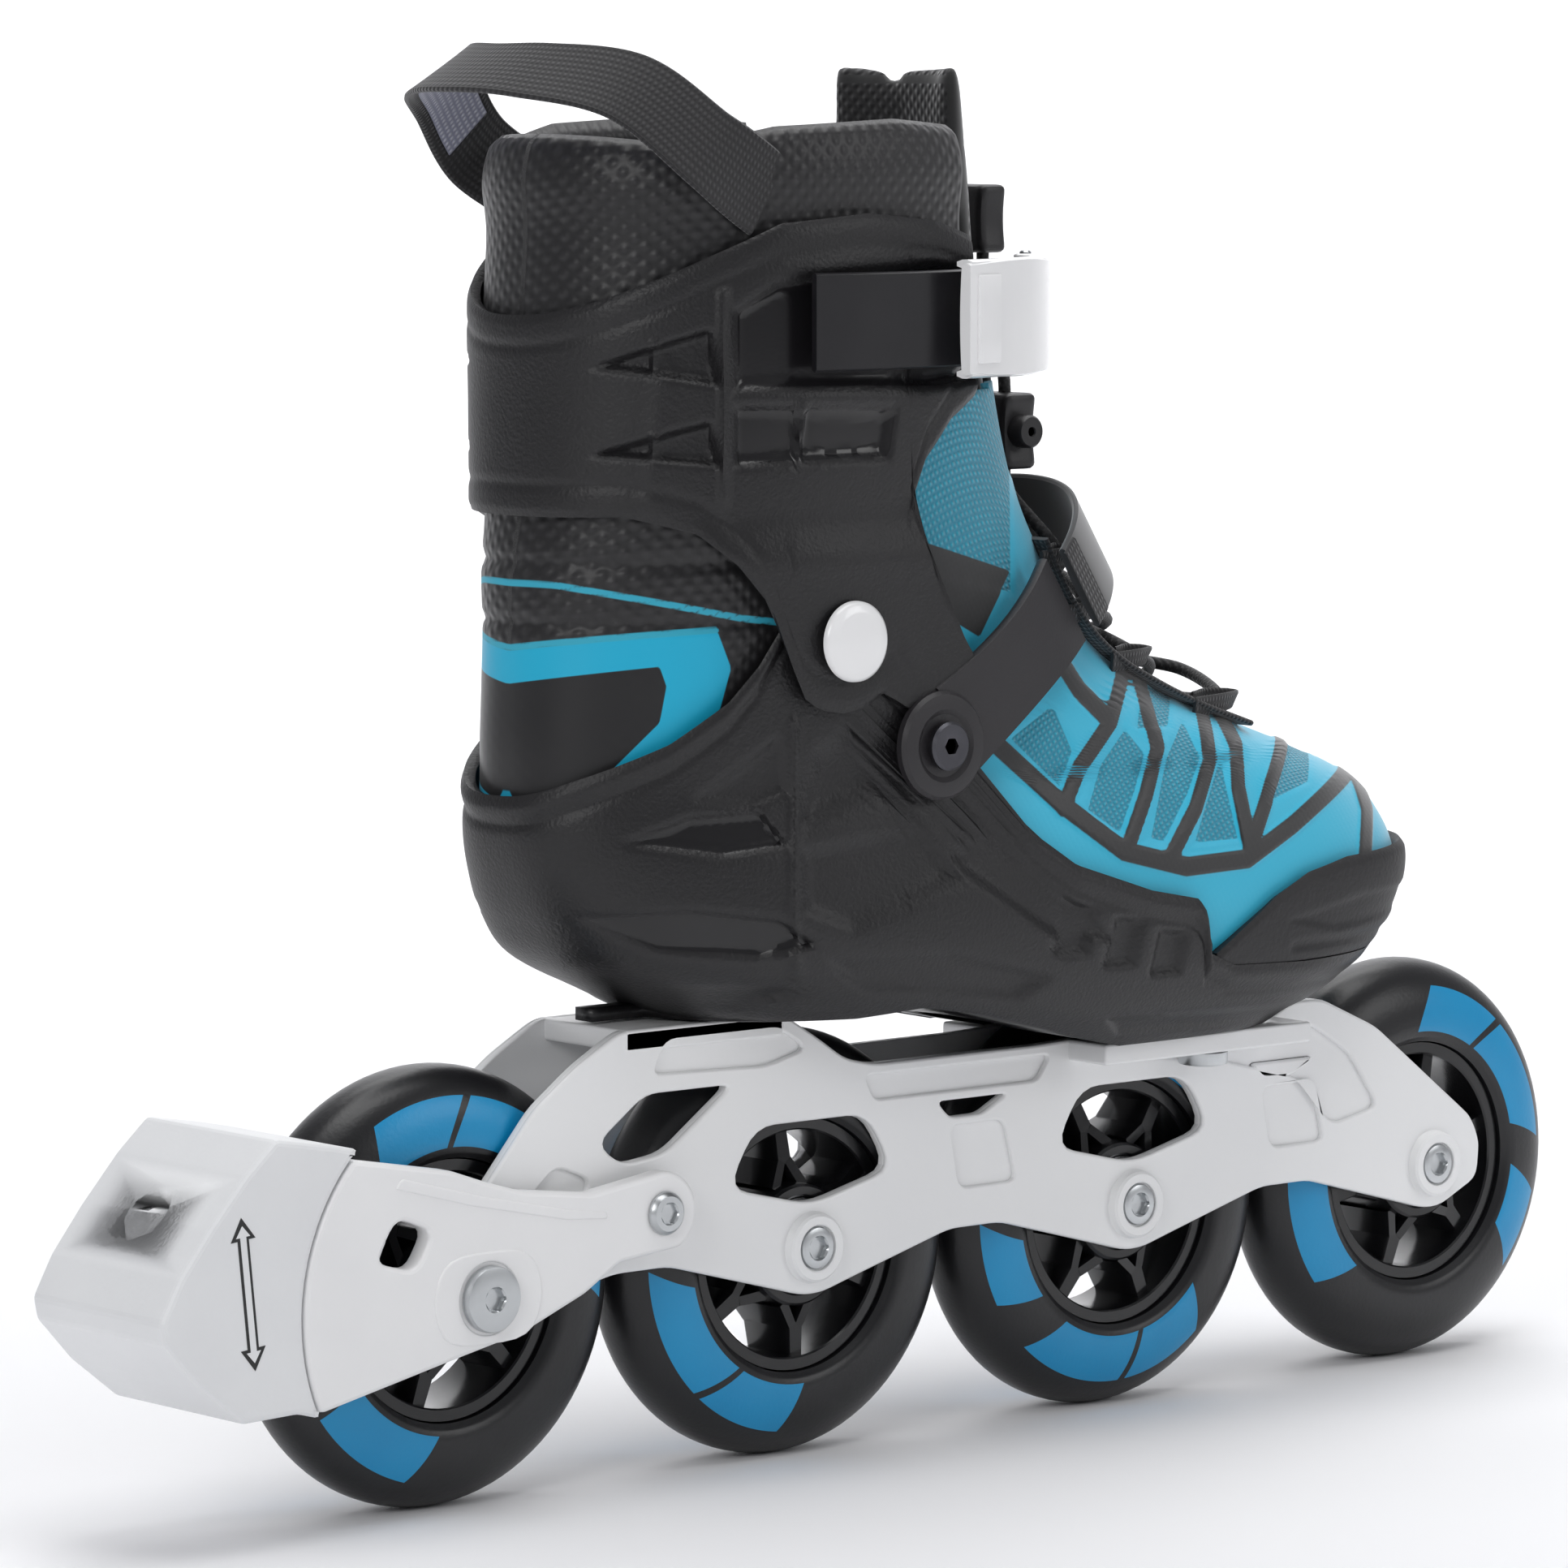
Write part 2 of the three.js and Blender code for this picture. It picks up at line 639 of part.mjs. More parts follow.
function frame() {
  const right = slab(wallOutline(), -WALL_OUT, -WALL_IN);
  const left = slab(wallOutline(), WALL_IN, WALL_OUT);
  const bosses = [];
  const boltHole = BOLT_R - 1 + AXLE_CLEAR;
  const tools = [...wallWindows(), crossPin(boltHole, -WIDE, WIDE, BRAKE_BOLT.x, BRAKE_BOLT.z, 10)];
  for (let i = 0; i < AXLE_COUNT; i++) {
    const x = i * AXLE_PITCH;
    bosses.push(boss(x, -1, BOSS_R), boss(x, 1, BOSS_R));
    const reach = WALL_OUT + BOSS_T + WALL_SINK;
    tools.push(crossPin(AXLE_R + AXLE_CLEAR, -reach, reach, x, WHEEL_R, 10));
    const seat = WALL_OUT + BOSS_T - AXLE_HEAD_T - GAP;
    if (i > 0) tools.push(crossPin(AXLE_HEAD_R + GAP, -reach, -seat, x, WHEEL_R, 12));
  }
  for (let i = 1; i < AXLE_COUNT - 1; i++) tools.push(pocket((i + 0.5) * AXLE_PITCH));
  for (const [, x, y, mount] of MOUNT_BOLTS) {
    tools.push(uprightPin(BOLT_R + GAP, mount.z - MOUNT_T - 1, mount.z + 1, x, y, 12));
  }
  const body = join(right, left, ...mountPlates(), ...bosses);
  return cut(body, ...tools);
}

// A bolt from under a mount up into the boot's sole.
function mountBolt(x, y, mount, grip) {
  const under = mount.z - MOUNT_T - GAP;
  const head = uprightPin(BOLT_HEAD_R, under - BOLT_HEAD_T, under, x, y, 14);
  const shank = uprightPin(BOLT_R, under - 0.5, mount.z + grip, x, y, 12);
  const socket = uprightPin(BOLT_SOCKET_R, under - BOLT_HEAD_T - 1, under - 1, x, y, 6);
  return cut(join(head, shank), socket);
}

add('frame', frame(), WHITE, 0.35, 0.1);
for (const [name, x, y, mount, grip] of MOUNT_BOLTS) {
  add(name, mountBolt(x, y, mount, grip), ZINC, 0.3, 1);
}

// ---- Heel brake ----

const BRAKE_TOP_LINE = [
  [-30, 84.5],
  [-10, 79.5],
  [0, 76],
  [10, 73],
  [30, 70.5],
];
const BRAKE_LOW_LINE = [
  [38, 54],
  [28, 48],
  [10, 41],
  [-10, 37],
  [-30, 34],
];

// One cheek of the arm, out to a radius about the rear axle.
function brakeCheek(radius, y0, y1) {
  const outline = polygon([
    ...arc(BRAKE_BOLT.x, BRAKE_BOLT.z, 9.5, -60, 110, 6),
    ...BRAKE_TOP_LINE.toReversed(),
    [-70, 94],
    [-70, 30],
    ...BRAKE_LOW_LINE.toReversed(),
  ]);
  const window = rounded([[-31, 61], [-25, 70.5], [-15, 66.5], [-20, 58]], 3);
  const cheek = cut(slab(outline, y0, y1), slab(window, y0 - 1, y1 + 1));
  const reach = crossPin(radius, y0 - 1, y1 + 1, 0, WHEEL_R, SEAM_SIDES);
  const front = block([0, y0 - 1, 0], [100, y1 + 1, 120]);
  return common(cheek, join(reach, front));
}

// A sector of a ring about the rear axle, behind the wheel. Angles in degrees.
function rearSector(inner, outer, from, to, y0, y1) {
  const steps = 8;
  const outline = [
    ...arc(0, WHEEL_R, outer, from, to, steps),
    ...arc(0, WHEEL_R, inner, to, from, steps),
  ];
  return slab(outline, y0, y1);
}

function radial(angle, distance, y) {
  const turn = THREE.MathUtils.degToRad(angle);
  const x = distance * Math.cos(turn);
  const z = WHEEL_R + distance * Math.sin(turn);
  return new THREE.Vector3(x, y, z);
}

// A pin along the pad screw's line between two distances from the rear axle.
function radialPin(radius, from, to, sides) {
  const turn = THREE.MathUtils.degToRad(SCREW_ANGLE);
  const pin = new THREE.CylinderGeometry(radius, radius, to - from, sides);
  pin.rotateZ(-Math.PI / 2).rotateY(-turn);
  const at = radial(SCREW_ANGLE, (from + to) / 2, 0);
  return pin.translate(at.x, at.y, at.z);
}

function brakeArm() {
  const cheeks = [-1, 1].flatMap((side) => {
    const outer = side > 0 ? [LIP_OUT, BRAKE_OUT] : [-BRAKE_OUT, -LIP_OUT];
    const lip = side > 0 ? [BRAKE_IN, LIP_OUT + 0.5] : [-LIP_OUT - 0.5, -BRAKE_IN];
    return [
      brakeCheek(SEAM_R, Math.min(...outer), Math.max(...outer)),
      common(
        brakeCheek(BRIDGE_OUT_R, Math.min(...lip), Math.max(...lip)),
        join(
          rearSector(20, BRIDGE_OUT_R, BRIDGE_FROM, BRIDGE_TO, -WIDE, WIDE),
          crossPin(SEAM_R, -WIDE, WIDE, 0, WHEEL_R, SEAM_SIDES),
          block([0, -WIDE, 0], [100, WIDE, 120]),
        ),
      ),
    ];
  });
  const bridge = rearSector(BRIDGE_IN_R, BRIDGE_OUT_R, BRIDGE_FROM, BRIDGE_TO, -LIP_OUT, LIP_OUT);
  const slot = rearSector(
    BRIDGE_IN_R - 1,
    BRIDGE_OUT_R + 1,
    SCREW_ANGLE - PAD_TILT - 3,
    SCREW_ANGLE + PAD_TILT + 3,
    -SLOT_HALF,
    SLOT_HALF,
  );
  const axleHole = crossPin(AXLE_R + AXLE_CLEAR, -WIDE, WIDE, 0, WHEEL_R, 14);
  const boltHole = crossPin(BOLT_R - 1 + AXLE_CLEAR, -WIDE, WIDE, BRAKE_BOLT.x, BRAKE_BOLT.z, 14);
  return cut(join(...cheeks, bridge), slot, axleHole, boltHole);
}

// The pad's side outline, from its top seam round the rear to its bottom seam.
const PAD_LINE = [
  [-30, 84.5],
  [-44, 88.5],
  [-58, 91],
  [-66, 84],
  [-76, 73],
  [-84, 63],
  [-89, 54],
  [-88, 49],
  [-79, 39],
  [-67, 29.5],
  [-52, 30],
  [-30, 33.5],
];

function brakePad() {
  const tapered = new THREE.ExtrudeGeometry(polygon(PAD_LINE), {
    depth: 2 * BRAKE_OUT - 6,
    bevelSize: 3,
    bevelThickness: 3,
    bevelOffset: -3,
    bevelSegments: 1,
  });
  tapered.rotateX(Math.PI / 2).translate(0, BRAKE_OUT - 3, 0);
  const seam = crossPin(SEAM_R + GAP * 1.5, -WIDE, WIDE, 0, WHEEL_R, SEAM_SIDES);
  const room = rearSector(
    40,
    BRIDGE_OUT_R + GAP * 2,
    BRIDGE_FROM - PAD_TILT - 1.5,
    BRIDGE_TO + PAD_TILT + 1.5,
    -LIP_OUT - 0.5 - GAP,
    LIP_OUT + 0.5 + GAP,
  );
  const hole = radialPin(PAD_HOLE_R, SCREW_DEPTH, 110, 18);
  const bore = radialPin(PAD_SCREW_R + GAP, 50, SCREW_DEPTH + 1, 12);
  return cut(tapered, seam, room, hole, bore);
}

function padScrew() {
  const head = radialPin(PAD_HOLE_R - 1.4, SCREW_DEPTH + GAP, SCREW_DEPTH + 4, 16);
  const shank = radialPin(PAD_SCREW_R, BRIDGE_IN_R - 0.7, SCREW_DEPTH + 1, 12);
  const socket = radialPin(2, SCREW_DEPTH + 1.5, SCREW_DEPTH + 8, 6);
  return cut(join(head, shank), socket);
}

function padNut() {
  const turn = THREE.MathUtils.degToRad(SCREW_ANGLE);
  const from = WHEEL_R + 0.9;
  const to = BRIDGE_IN_R - 1;
  const nut = new THREE.BoxGeometry(to - from, 11, 8);
  nut.rotateY(-turn);
  const at = radial(SCREW_ANGLE, (from + to) / 2, 0);
  return nut.translate(at.x, at.y, at.z);
}

// A short bolt that holds one cheek of the arm to its frame wall.
function brakeBolt(side) {
  const face = BRAKE_OUT + GAP + BRAKE_BOLT_HEAD_T;
  const bolt = crossBolt(
    BRAKE_BOLT.x,
    BRAKE_BOLT.z,
    AXLE_HEAD_R,
    BRAKE_BOLT_HEAD_T,
    BOLT_R - 1,
    -face,
    -WALL_IN - 0.2,
    AXLE_SOCKET_R - 0.2,
  );
  return side < 0 ? bolt : bolt.rotateZ(Math.PI).translate(2 * BRAKE_BOLT.x, 0, 0);
}

add('brake_arm', brakeArm(), WHITE, 0.45);
add('brake_pad', brakePad(), 0xe9eaec, 0.5);
add('brake_pad_screw', padScrew(), ZINC, 0.35, 1);
add('brake_pad_nut', padNut(), 0x6f8a4e, 0.5, 0.5);
add('brake_bolt_right', brakeBolt(-1), ZINC, 0.25, 1);
add('brake_bolt_left', brakeBolt(1), ZINC, 0.25, 1);

// ---- Boot ----

const SHELL_SIDE = [
  [8, 155],
  [16, 156],
  [28, 163],
  [46, 171],
  [59, 180],
  [66, 188],
  ...arc(PIVOT.x, PIVOT.z, EAR_R + 1, 165, 20, 8),
  [112, 181],
  [124, 165],
  [131, 156],
  [141, 146],
  [153, 138],
  [176, 130.5],
  [192, 127.5],
  [196, 123],
  [197, 112],
  [230, 109],
  [300, 109],
  [300, 80],
  [8, 80],
];

// The moulded half shell: the sole and the side walls up to the cuff pivots.
function shell() {
  const top = PIVOT.z + EAR_R + 4;
  const outer = lastSolid(88, top, shellGrow);
  const side = common(aboveSole(), slab(SHELL_SIDE, -WIDE, WIDE));
  const room = common(lastSolid(88, top + 14, () => SHELL_GAP), aboveFloor(0));
  const wellHalf = TYRE_W / 2 + WHEEL_ROOM;
  const well = crossPin(WHEEL_R + WHEEL_ROOM, -wellHalf, wellHalf, 2 * AXLE_PITCH, WHEEL_R, 24);
  const tools = [room, well];
  const pin = RIVET_R + AXLE_CLEAR;
  tools.push(crossPin(pin, -WIDE, WIDE, PIVOT.x, PIVOT.z, 16));
  tools.push(crossPin(INSTEP_SCREW_R + AXLE_CLEAR, -WIDE, WIDE, INSTEP.x, INSTEP.z, 12));
  for (const [, x, y, mount, grip] of MOUNT_BOLTS) {
    tools.push(uprightPin(BOLT_R + GAP, 80, mount.z + grip + 0.5, x, y, 12));
  }
  return cut(common(outer, side), ...tools);
}

const CUFF_SIDE = [
  [5, 221],
  [36, 222],
  [50, 218],
  [59, 211],
  ...arc(PIVOT.x, PIVOT.z, EAR_R + 1.5, 160, 360, 10),
  [104, 222],
  [110, 233],
  [119, 242],
  [129, 247],
  [134, 254],
  [134, CUFF_TOP - 7],
  [114, CUFF_TOP - 2],
  [92, CUFF_TOP],
  [68, CUFF_TOP - 2],
  [52, CUFF_TOP - 9],
  [38, CUFF_TOP - 16],
  [25, CUFF_TOP - 23],
  [5, CUFF_TOP - 26],
];

// The hinged cuff: a thin wall round the ankle, open at the front.
function cuff() {
  const low = PIVOT.z - EAR_R - 4;
  const outer = lastSolid(low, CUFF_TOP + 2, (z) => cuffInner(z) + CUFF_T);
  const inner = lastSolid(low - 1, CUFF_TOP + 3, cuffInner);
  const side = slab(CUFF_SIDE, -WIDE, WIDE);
  const pin = crossPin(RIVET_R + AXLE_CLEAR, -WIDE, WIDE, PIVOT.x, PIVOT.z, 16);
  return cut(common(outer, side), inner, pin);
}

// The half width of the last at the pivots, where the rivets sit
const PIVOT_HALF = lastPoint(Math.PI / 2, PIVOT.z, 0).y;

function rivet(side) {
  const inner = PIVOT_HALF + SHELL_GAP + 0.2;
  const seat = PIVOT_HALF + cuffInner(PIVOT.z) + CUFF_T + GAP;
  const y = (from, to) => (side > 0 ? [from, to] : [-to, -from]);
  const shank = crossPin(RIVET_R, ...y(inner, seat + 0.5), PIVOT.x, PIVOT.z, 12);
  const cap = crossPin(RIVET_HEAD_R, ...y(seat, seat + 2), PIVOT.x, PIVOT.z, 20);
  return join(shank, cap);
}

const CAP_SIDE = [
  [199, 113],
  [207, 118.5],
  [218, 126],
  [229, 131],
  [244, 133.5],
  [262, 134],
  [300, 135.5],
  [300, 109.3],
  [230, 109.3],
];

function toeCap() {
  const outer = lastSolid(96, 150, () => SHELL_OUT - 0.2);
  const inner = lastSolid(94, 154, () => GAP);
  return cut(common(outer, slab(CAP_SIDE, -WIDE, WIDE)), inner);
}

// The side-view region of the textile upper: the forefoot and the front of the ankle.
function upperRegion(gap) {
  return slab(
    [
      [112 - gap, 100],
      [101 - gap, 213],
      [104 - gap, 226],
      [113 - gap, 239 + gap],
      [124, 247 + gap],
      [200, 250 + gap],
      [320, 250],
      [320, 80],
      [112 - gap, 80],
    ],
    -WIDE,
    WIDE,
  );
}

// The opening down the front of the boot that the tongue fills.
function throat(gap) {
  const half = THROAT + gap;
  return slab(
    [
      [120, 340],
      [120, 215],
      [150, 186 - gap],
      [205, 160 - gap],
      [232, 160 - gap],
      [300, 200],
      [300, 340],
    ],
    -half,
    half,
  );
}

function textileUpper() {
  const outer = lastSolid(98, 252, softGrow);
  const inner = lastSolid(96, 256, () => -UPPER_T);
  const region = common(upperRegion(0), aboveFloor(GAP));
  return cut(common(outer, region), inner, throat(0));
}

const LINER_ROOF = [
  [10, COLLAR_TOP - 9],
  [32, COLLAR_TOP - 4],
  [50, COLLAR_TOP - 7],
  [70, COLLAR_TOP - 2],
  [104, COLLAR_TOP],
  [160, COLLAR_TOP - 6],
];

// The padded inner boot: its floor, heel, ankle and collar.
function liner() {
  const roof = slab([[10, 90], [300, 90], [300, 250], ...LINER_ROOF.toReversed()], -WIDE, WIDE);
  const rear = cut(lastSolid(94, 322, softGrow), upperRegion(GAP));
  const front = lastSolid(94, 322, () => -UPPER_T - GAP);
  const outer = common(join(rear, front), roof, aboveFloor(GAP));
  const room = common(lastSolid(92, 330, () => -LINER_T - UPPER_T), aboveFloor(GAP + LINER_FLOOR_T));
  return cut(outer, room, throat(GAP));
}

// The tongue: a curved pad down the front, from the toes to above the collar.
function tongue() {
  const outer = lastSolid(150, TONGUE_TOP, () => 0.5);
  const inner = lastSolid(148, TONGUE_TOP + 4, () => -TONGUE_T);
  const region = common(throat(-GAP), block([100, -WIDE, 150], [320, WIDE, TONGUE_TOP]));
  return cut(common(outer, region), inner);
}

function insole() {
  const low = GAP + LINER_FLOOR_T + GAP;
  const inside = lastSolid(92, 140, () => -LINER_T - UPPER_T - GAP * 2);
  return cut(common(inside, aboveFloor(low)), aboveFloor(low + INSOLE_T));
}

const LOOP_PULL_W = 20;
const LOOP_PULL_T = 1.6;

// The pull loop: a webbing band from one side of the collar, round above the heel, to the other.
function pullLoop() {
  const foot = lastPoint(THREE.MathUtils.degToRad(112), CUFF_TOP + 4, LOOP_PULL_T / 2 + GAP * 2);
  const half = [
    foot,
    new THREE.Vector3(50, foot.y + 0.6, CUFF_TOP + 14),
    new THREE.Vector3(34, 33, CUFF_TOP + 28),
    new THREE.Vector3(20, 16, CUFF_TOP + 32),
  ];
  const mirrored = half.toReversed().map((p) => new THREE.Vector3(p.x, -p.y, p.z));
  const points = [...half, new THREE.Vector3(16, 0, CUFF_TOP + 32.5), ...mirrored];
  const lean = new THREE.Vector3(0.86, 0, 0.5);
  return band(points, LOOP_PULL_W, LOOP_PULL_T, () => lean, 36);
}

// ---- Closures ----

// The point where the sloped plane of the instep strap meets the last at one angle.
function instepPoint(angle, grow) {
  let low = 120;
  let high = 235;
  for (let i = 0; i < 24; i++) {
    const z = (low + high) / 2;
    const above = z - INSTEP.z - INSTEP_SLOPE * (lastPoint(angle, z, grow).x - INSTEP.x);
    if (above > 0) high = z;
    else low = z;
  }
  return lastPoint(angle, (low + high) / 2, grow);
}

function instepPath(from, to, growAt, count) {
  return Array.from({ length: count + 1 }, (_, i) => {
    const angle = THREE.MathUtils.degToRad(from + ((to - from) * i) / count);
    return instepPoint(angle, growAt(i / count));
  });
}

const INSTEP_HALF = lastPoint(Math.PI / 2, INSTEP.z, 0).y;
const UP_SLOPE = new THREE.Vector3(-INSTEP_SLOPE, 0, 1).normalize();

function instepPlate(side) {
  const start = side * 96;
  const path = instepPath(start, side * PLATE_END, () => INSTEP_LIFT, 5);
  const arm = band(path, INSTEP_W, PLATE_T, () => UP_SLOPE, 8);
  const face = INSTEP_HALF + INSTEP_LIFT;
  const y = (from, to) => (side > 0 ? [from, to] : [-to, -from]);
  const eye = crossPin(INSTEP_W / 2 + 0.5, ...y(face - 0.4, face + PLATE_T), INSTEP.x, INSTEP.z, 20);
  const shellSkin = lastSolid(140, 206, () => SHELL_OUT + GAP);
  const hole = crossPin(INSTEP_SCREW_R + AXLE_CLEAR, ...y(face - 8, face + 8), INSTEP.x, INSTEP.z, 12);
  return cut(join(arm, eye), shellSkin, hole);
}

function instepScrew(side) {
  const face = INSTEP_HALF + INSTEP_LIFT + PLATE_T + GAP;
  const y = (from, to) => (side > 0 ? [from, to] : [-to, -from]);
  const head = crossPin(5.6, ...y(face, face + 1.6), INSTEP.x, INSTEP.z, 16);
  const end = INSTEP_HALF + SHELL_GAP + 0.6;
  const shank = crossPin(INSTEP_SCREW_R, ...y(end, face + 0.5), INSTEP.x, INSTEP.z, 10);
  const socket = crossPin(1.8, ...y(face + 0.7, face + 4), INSTEP.x, INSTEP.z, 6);
  return cut(join(head, shank), socket);
}

function instepStrap() {
  const reach = PLATE_END - 3;
  const lift = (t) => INSTEP_LIFT + 3.4 + 3.4 * Math.sin(Math.PI * t);
  const path = instepPath(-reach, reach, lift, 10);
  return band(path, INSTEP_W - 2, STRAP_T, () => UP_SLOPE, 20);
}

// A band that runs level round the ankle at the strap's height.
function levelBand(from, to, grow, width, thickness, steps) {
  const path = Array.from({ length: 9 }, (_, i) => {
    const angle = THREE.MathUtils.degToRad(from + ((to - from) * i) / 8);
    return lastPoint(angle, STRAP_Z, grow);
  });
  return band(path, width, thickness, () => new THREE.Vector3(0, 0, 1), steps);
}

const PIN_AT = lastPoint(THREE.MathUtils.degToRad(-LEVER_FRONT), STRAP_Z, PIN_LIFT);
const PAWL_AT = lastPoint(THREE.MathUtils.degToRad(-PAWL_ANGLE), STRAP_Z, BASE_LIFT + 3);

// The buckle's base: a curved plate with two ears that carry the lever's pin.
function buckleBase() {
  const plate = levelBand(-104, -LEVER_FRONT + 4, BASE_LIFT, BASE_W - 2, BASE_T, 14);
  const ears = [-1, 1].map((side) => {
    const middle = STRAP_Z + side * (BASE_W / 2 - 2.2);
    const earR = PIN_R + GAP + EAR_WALL;
    const ear = uprightPin(earR, middle - 1, middle + 1, PIN_AT.x, PIN_AT.y, 12);
    const foot = levelBand(-LEVER_FRONT - 6, -LEVER_FRONT + 2, BASE_LIFT + 1, 2, 2.4, 3);
    return join(ear, foot.translate(0, 0, middle - STRAP_Z));
  });
  const bore = uprightPin(PIN_R + GAP, STRAP_Z - 20, STRAP_Z + 20, PIN_AT.x, PIN_AT.y, 12);
  return cut(join(plate, ...ears), bore);
}

function buckleLever() {
  const skin = levelBand(-LEVER_REAR, -LEVER_FRONT, LEVER_LIFT, LEVER_W, LEVER_T, 12);
  const sides = [-1, 1].map((side) => {
    const middle = STRAP_Z + side * (LEVER_W / 2 - LEVER_SIDE / 2);
    const flank = levelBand(-LEVER_REAR, -LEVER_FRONT, LEVER_LIFT - 1.4, LEVER_SIDE, 4.8, 12);
    const eye = uprightPin(2.8, middle - LEVER_SIDE / 2, middle + LEVER_SIDE / 2, PIN_AT.x, PIN_AT.y, 12);
    return join(flank.translate(0, 0, middle - STRAP_Z), eye);
  });
  const bore = uprightPin(PIN_R + GAP, STRAP_Z - 20, STRAP_Z + 20, PIN_AT.x, PIN_AT.y, 12);
  return cut(join(skin, ...sides), bore);
}

function leverPin() {
  const reach = LEVER_W / 2 + 0.6;
  return uprightPin(PIN_R, STRAP_Z - reach, STRAP_Z + reach, PIN_AT.x, PIN_AT.y, 12);
}

// The catch under the lever that holds the toothed strap.
function bucklePawl() {
  const width = BASE_W - 10;
  const pivot = uprightPin(1.6, STRAP_Z - width / 2, STRAP_Z + width / 2, PAWL_AT.x, PAWL_AT.y, 12);
  const nose = levelBand(-PAWL_ANGLE - 6, -PAWL_ANGLE + 6, BASE_LIFT + 2.6, width - 1, 1.8, 4);
  return join(pivot, nose);
}

// The toothed strap, with the round cap of its fixing at the inner end.
function ladderStrap() {
  const strap = levelBand(-70, 88, STRAP_LIFT, STRAP_W, STRAP_T, 24);
  const at = lastPoint(THREE.MathUtils.degToRad(82), STRAP_Z, STRAP_LIFT);
  return join(strap, crossPin(6, at.y - 0.4, at.y + 4, at.x, STRAP_Z, 16));
}

// ---- Laces ----

function throatEdge(z, grow, y) {
  let low = 0.02;
  let high = 1.4;
  for (let i = 0; i < 24; i++) {
    const angle = (low + high) / 2;
    if (lastPoint(angle, z, grow).y > y) high = angle;
    else low = angle;
  }
  return lastPoint((low + high) / 2, z, grow);
}

// A strip of webbing down one edge of the throat, with a raised loop at each row.
function laceStay(side) {
  const strip = [];
  const first = LOOP_ROWS[0] - 5;
  const last = LOOP_ROWS.at(-1) + 5;
  for (let z = first; z <= last + 0.1; z += (last - first) / 8) {
    const at = throatEdge(z, 1.6, THROAT + 4);
    strip.push(new THREE.Vector3(at.x, side * at.y, z));
  }
  const base = band(strip, LOOP_W, 1.4, () => new THREE.Vector3(0, 1, 0), 8);
  const eyes = LOOP_ROWS.map((z) => {
    const at = throatEdge(z, 2.6, THROAT + 1.4);
    const eye = new THREE.TorusGeometry(3.1, 1.2, 4, 8);
    eye.rotateX(Math.PI / 2);
    return eye.translate(at.x - 0.5, side * at.y, z + 0.5);
  });
  const skin = lastSolid(140, 226, () => GAP);
  return cut(join(base, ...eyes), skin);
}

// One lace, crossing between the loops, through the lock and up to the puller.
function laceRoute() {
  const points = [];
  const rows = LOOP_ROWS.length;
  const edge = THROAT - 5.6;
  const at = (row, side, lift = LACE_LIFT) => {
    const place = throatEdge(LOOP_ROWS[row] + 0.5, lift, edge);
    return new THREE.Vector3(place.x, side * edge, place.z);
  };
  const between = (row, lift) => throatEdge((LOOP_ROWS[row] + LOOP_ROWS[row + 1]) / 2, lift, 0.01);
  const above = [
    [PULLER.x, PULLER.z + 6],
    [PULLER.x, PULLER.z - 4],
    [PULLER.x + 0.4, STRAP_Z],
    [LOCK.x - 0.6, LOCK.z + LOCK.h / 2 + 5],
    [LOCK.x, LOCK.z + LOCK.h / 2 - 2],
    [LOCK.x, LOCK.z],
    [LOCK.x, LOCK.z - LOCK.h / 2],
    [LOCK.x + 0.3, LOCK.z - LOCK.h / 2 - 4],
  ];
  const straight = (half) => above.map(([x, z]) => new THREE.Vector3(x, half, z));
  points.push(...straight(-LOCK.half));
  let side = -1;
  for (let row = rows - 1; row > 0; row--) {
    points.push(at(row, side));
    points.push(between(row - 1, LACE_LIFT + 1.6));
    side = -side;
  }
  points.push(at(0, side), at(0, -side));
  side = -side;
  for (let row = 0; row < rows - 1; row++) {
    if (row > 0) points.push(at(row, side));
    points.push(between(row, LACE_LIFT + LACE_D + 2.4));
    side = -side;
  }
  points.push(at(rows - 1, side));
  points.push(...straight(LOCK.half).toReversed());
  return points;
}

function lace() {
  const section = new THREE.Shape();
  section.absarc(0, 0, LACE_D / 2, 0, 2 * Math.PI);
  const path = new THREE.CatmullRomCurve3(laceRoute(), false, 'centripetal');
  return new THREE.ExtrudeGeometry(section, { steps: 68, curveSegments: 4, extrudePath: path });
}

function laceLock() {
  const body = block(
    [LOCK.x - LOCK.d / 2, -LOCK.w / 2, LOCK.z - LOCK.h / 2],
    [LOCK.x + LOCK.d / 2, LOCK.w / 2, LOCK.z + LOCK.h / 2],
  );
  const tools = [-1, 1].map((side) =>
    uprightPin(LACE_D / 2 + GAP * 1.5, LOCK.z - 30, LOCK.z + 30, LOCK.x, side * LOCK.half, 10),
  );
  const well = crossPin(BUTTON_R + GAP, -LOCK.w / 2 - 1, -LOCK.w / 2 + 4.6, LOCK.x, LOCK.z, 12);
  return cut(body, ...tools, well);
}

function lockButton() {
  return crossPin(BUTTON_R, -LOCK.w / 2 - BUTTON_OUT, -LOCK.w / 2 + 1.6, LOCK.x, LOCK.z, 12);
}

function lacePuller() {
  const { x, z, w, h, d } = PULLER;
  const body = block([x - d / 2, -w / 2, z], [x + d / 2, w / 2, z + h]);
  const tools = [-1, 1].map((side) =>
    uprightPin(LACE_D / 2 + GAP * 1.5, z - 3, z + 6.5, x, side * LOCK.half, 10),
  );
  return cut(body, ...tools);
}

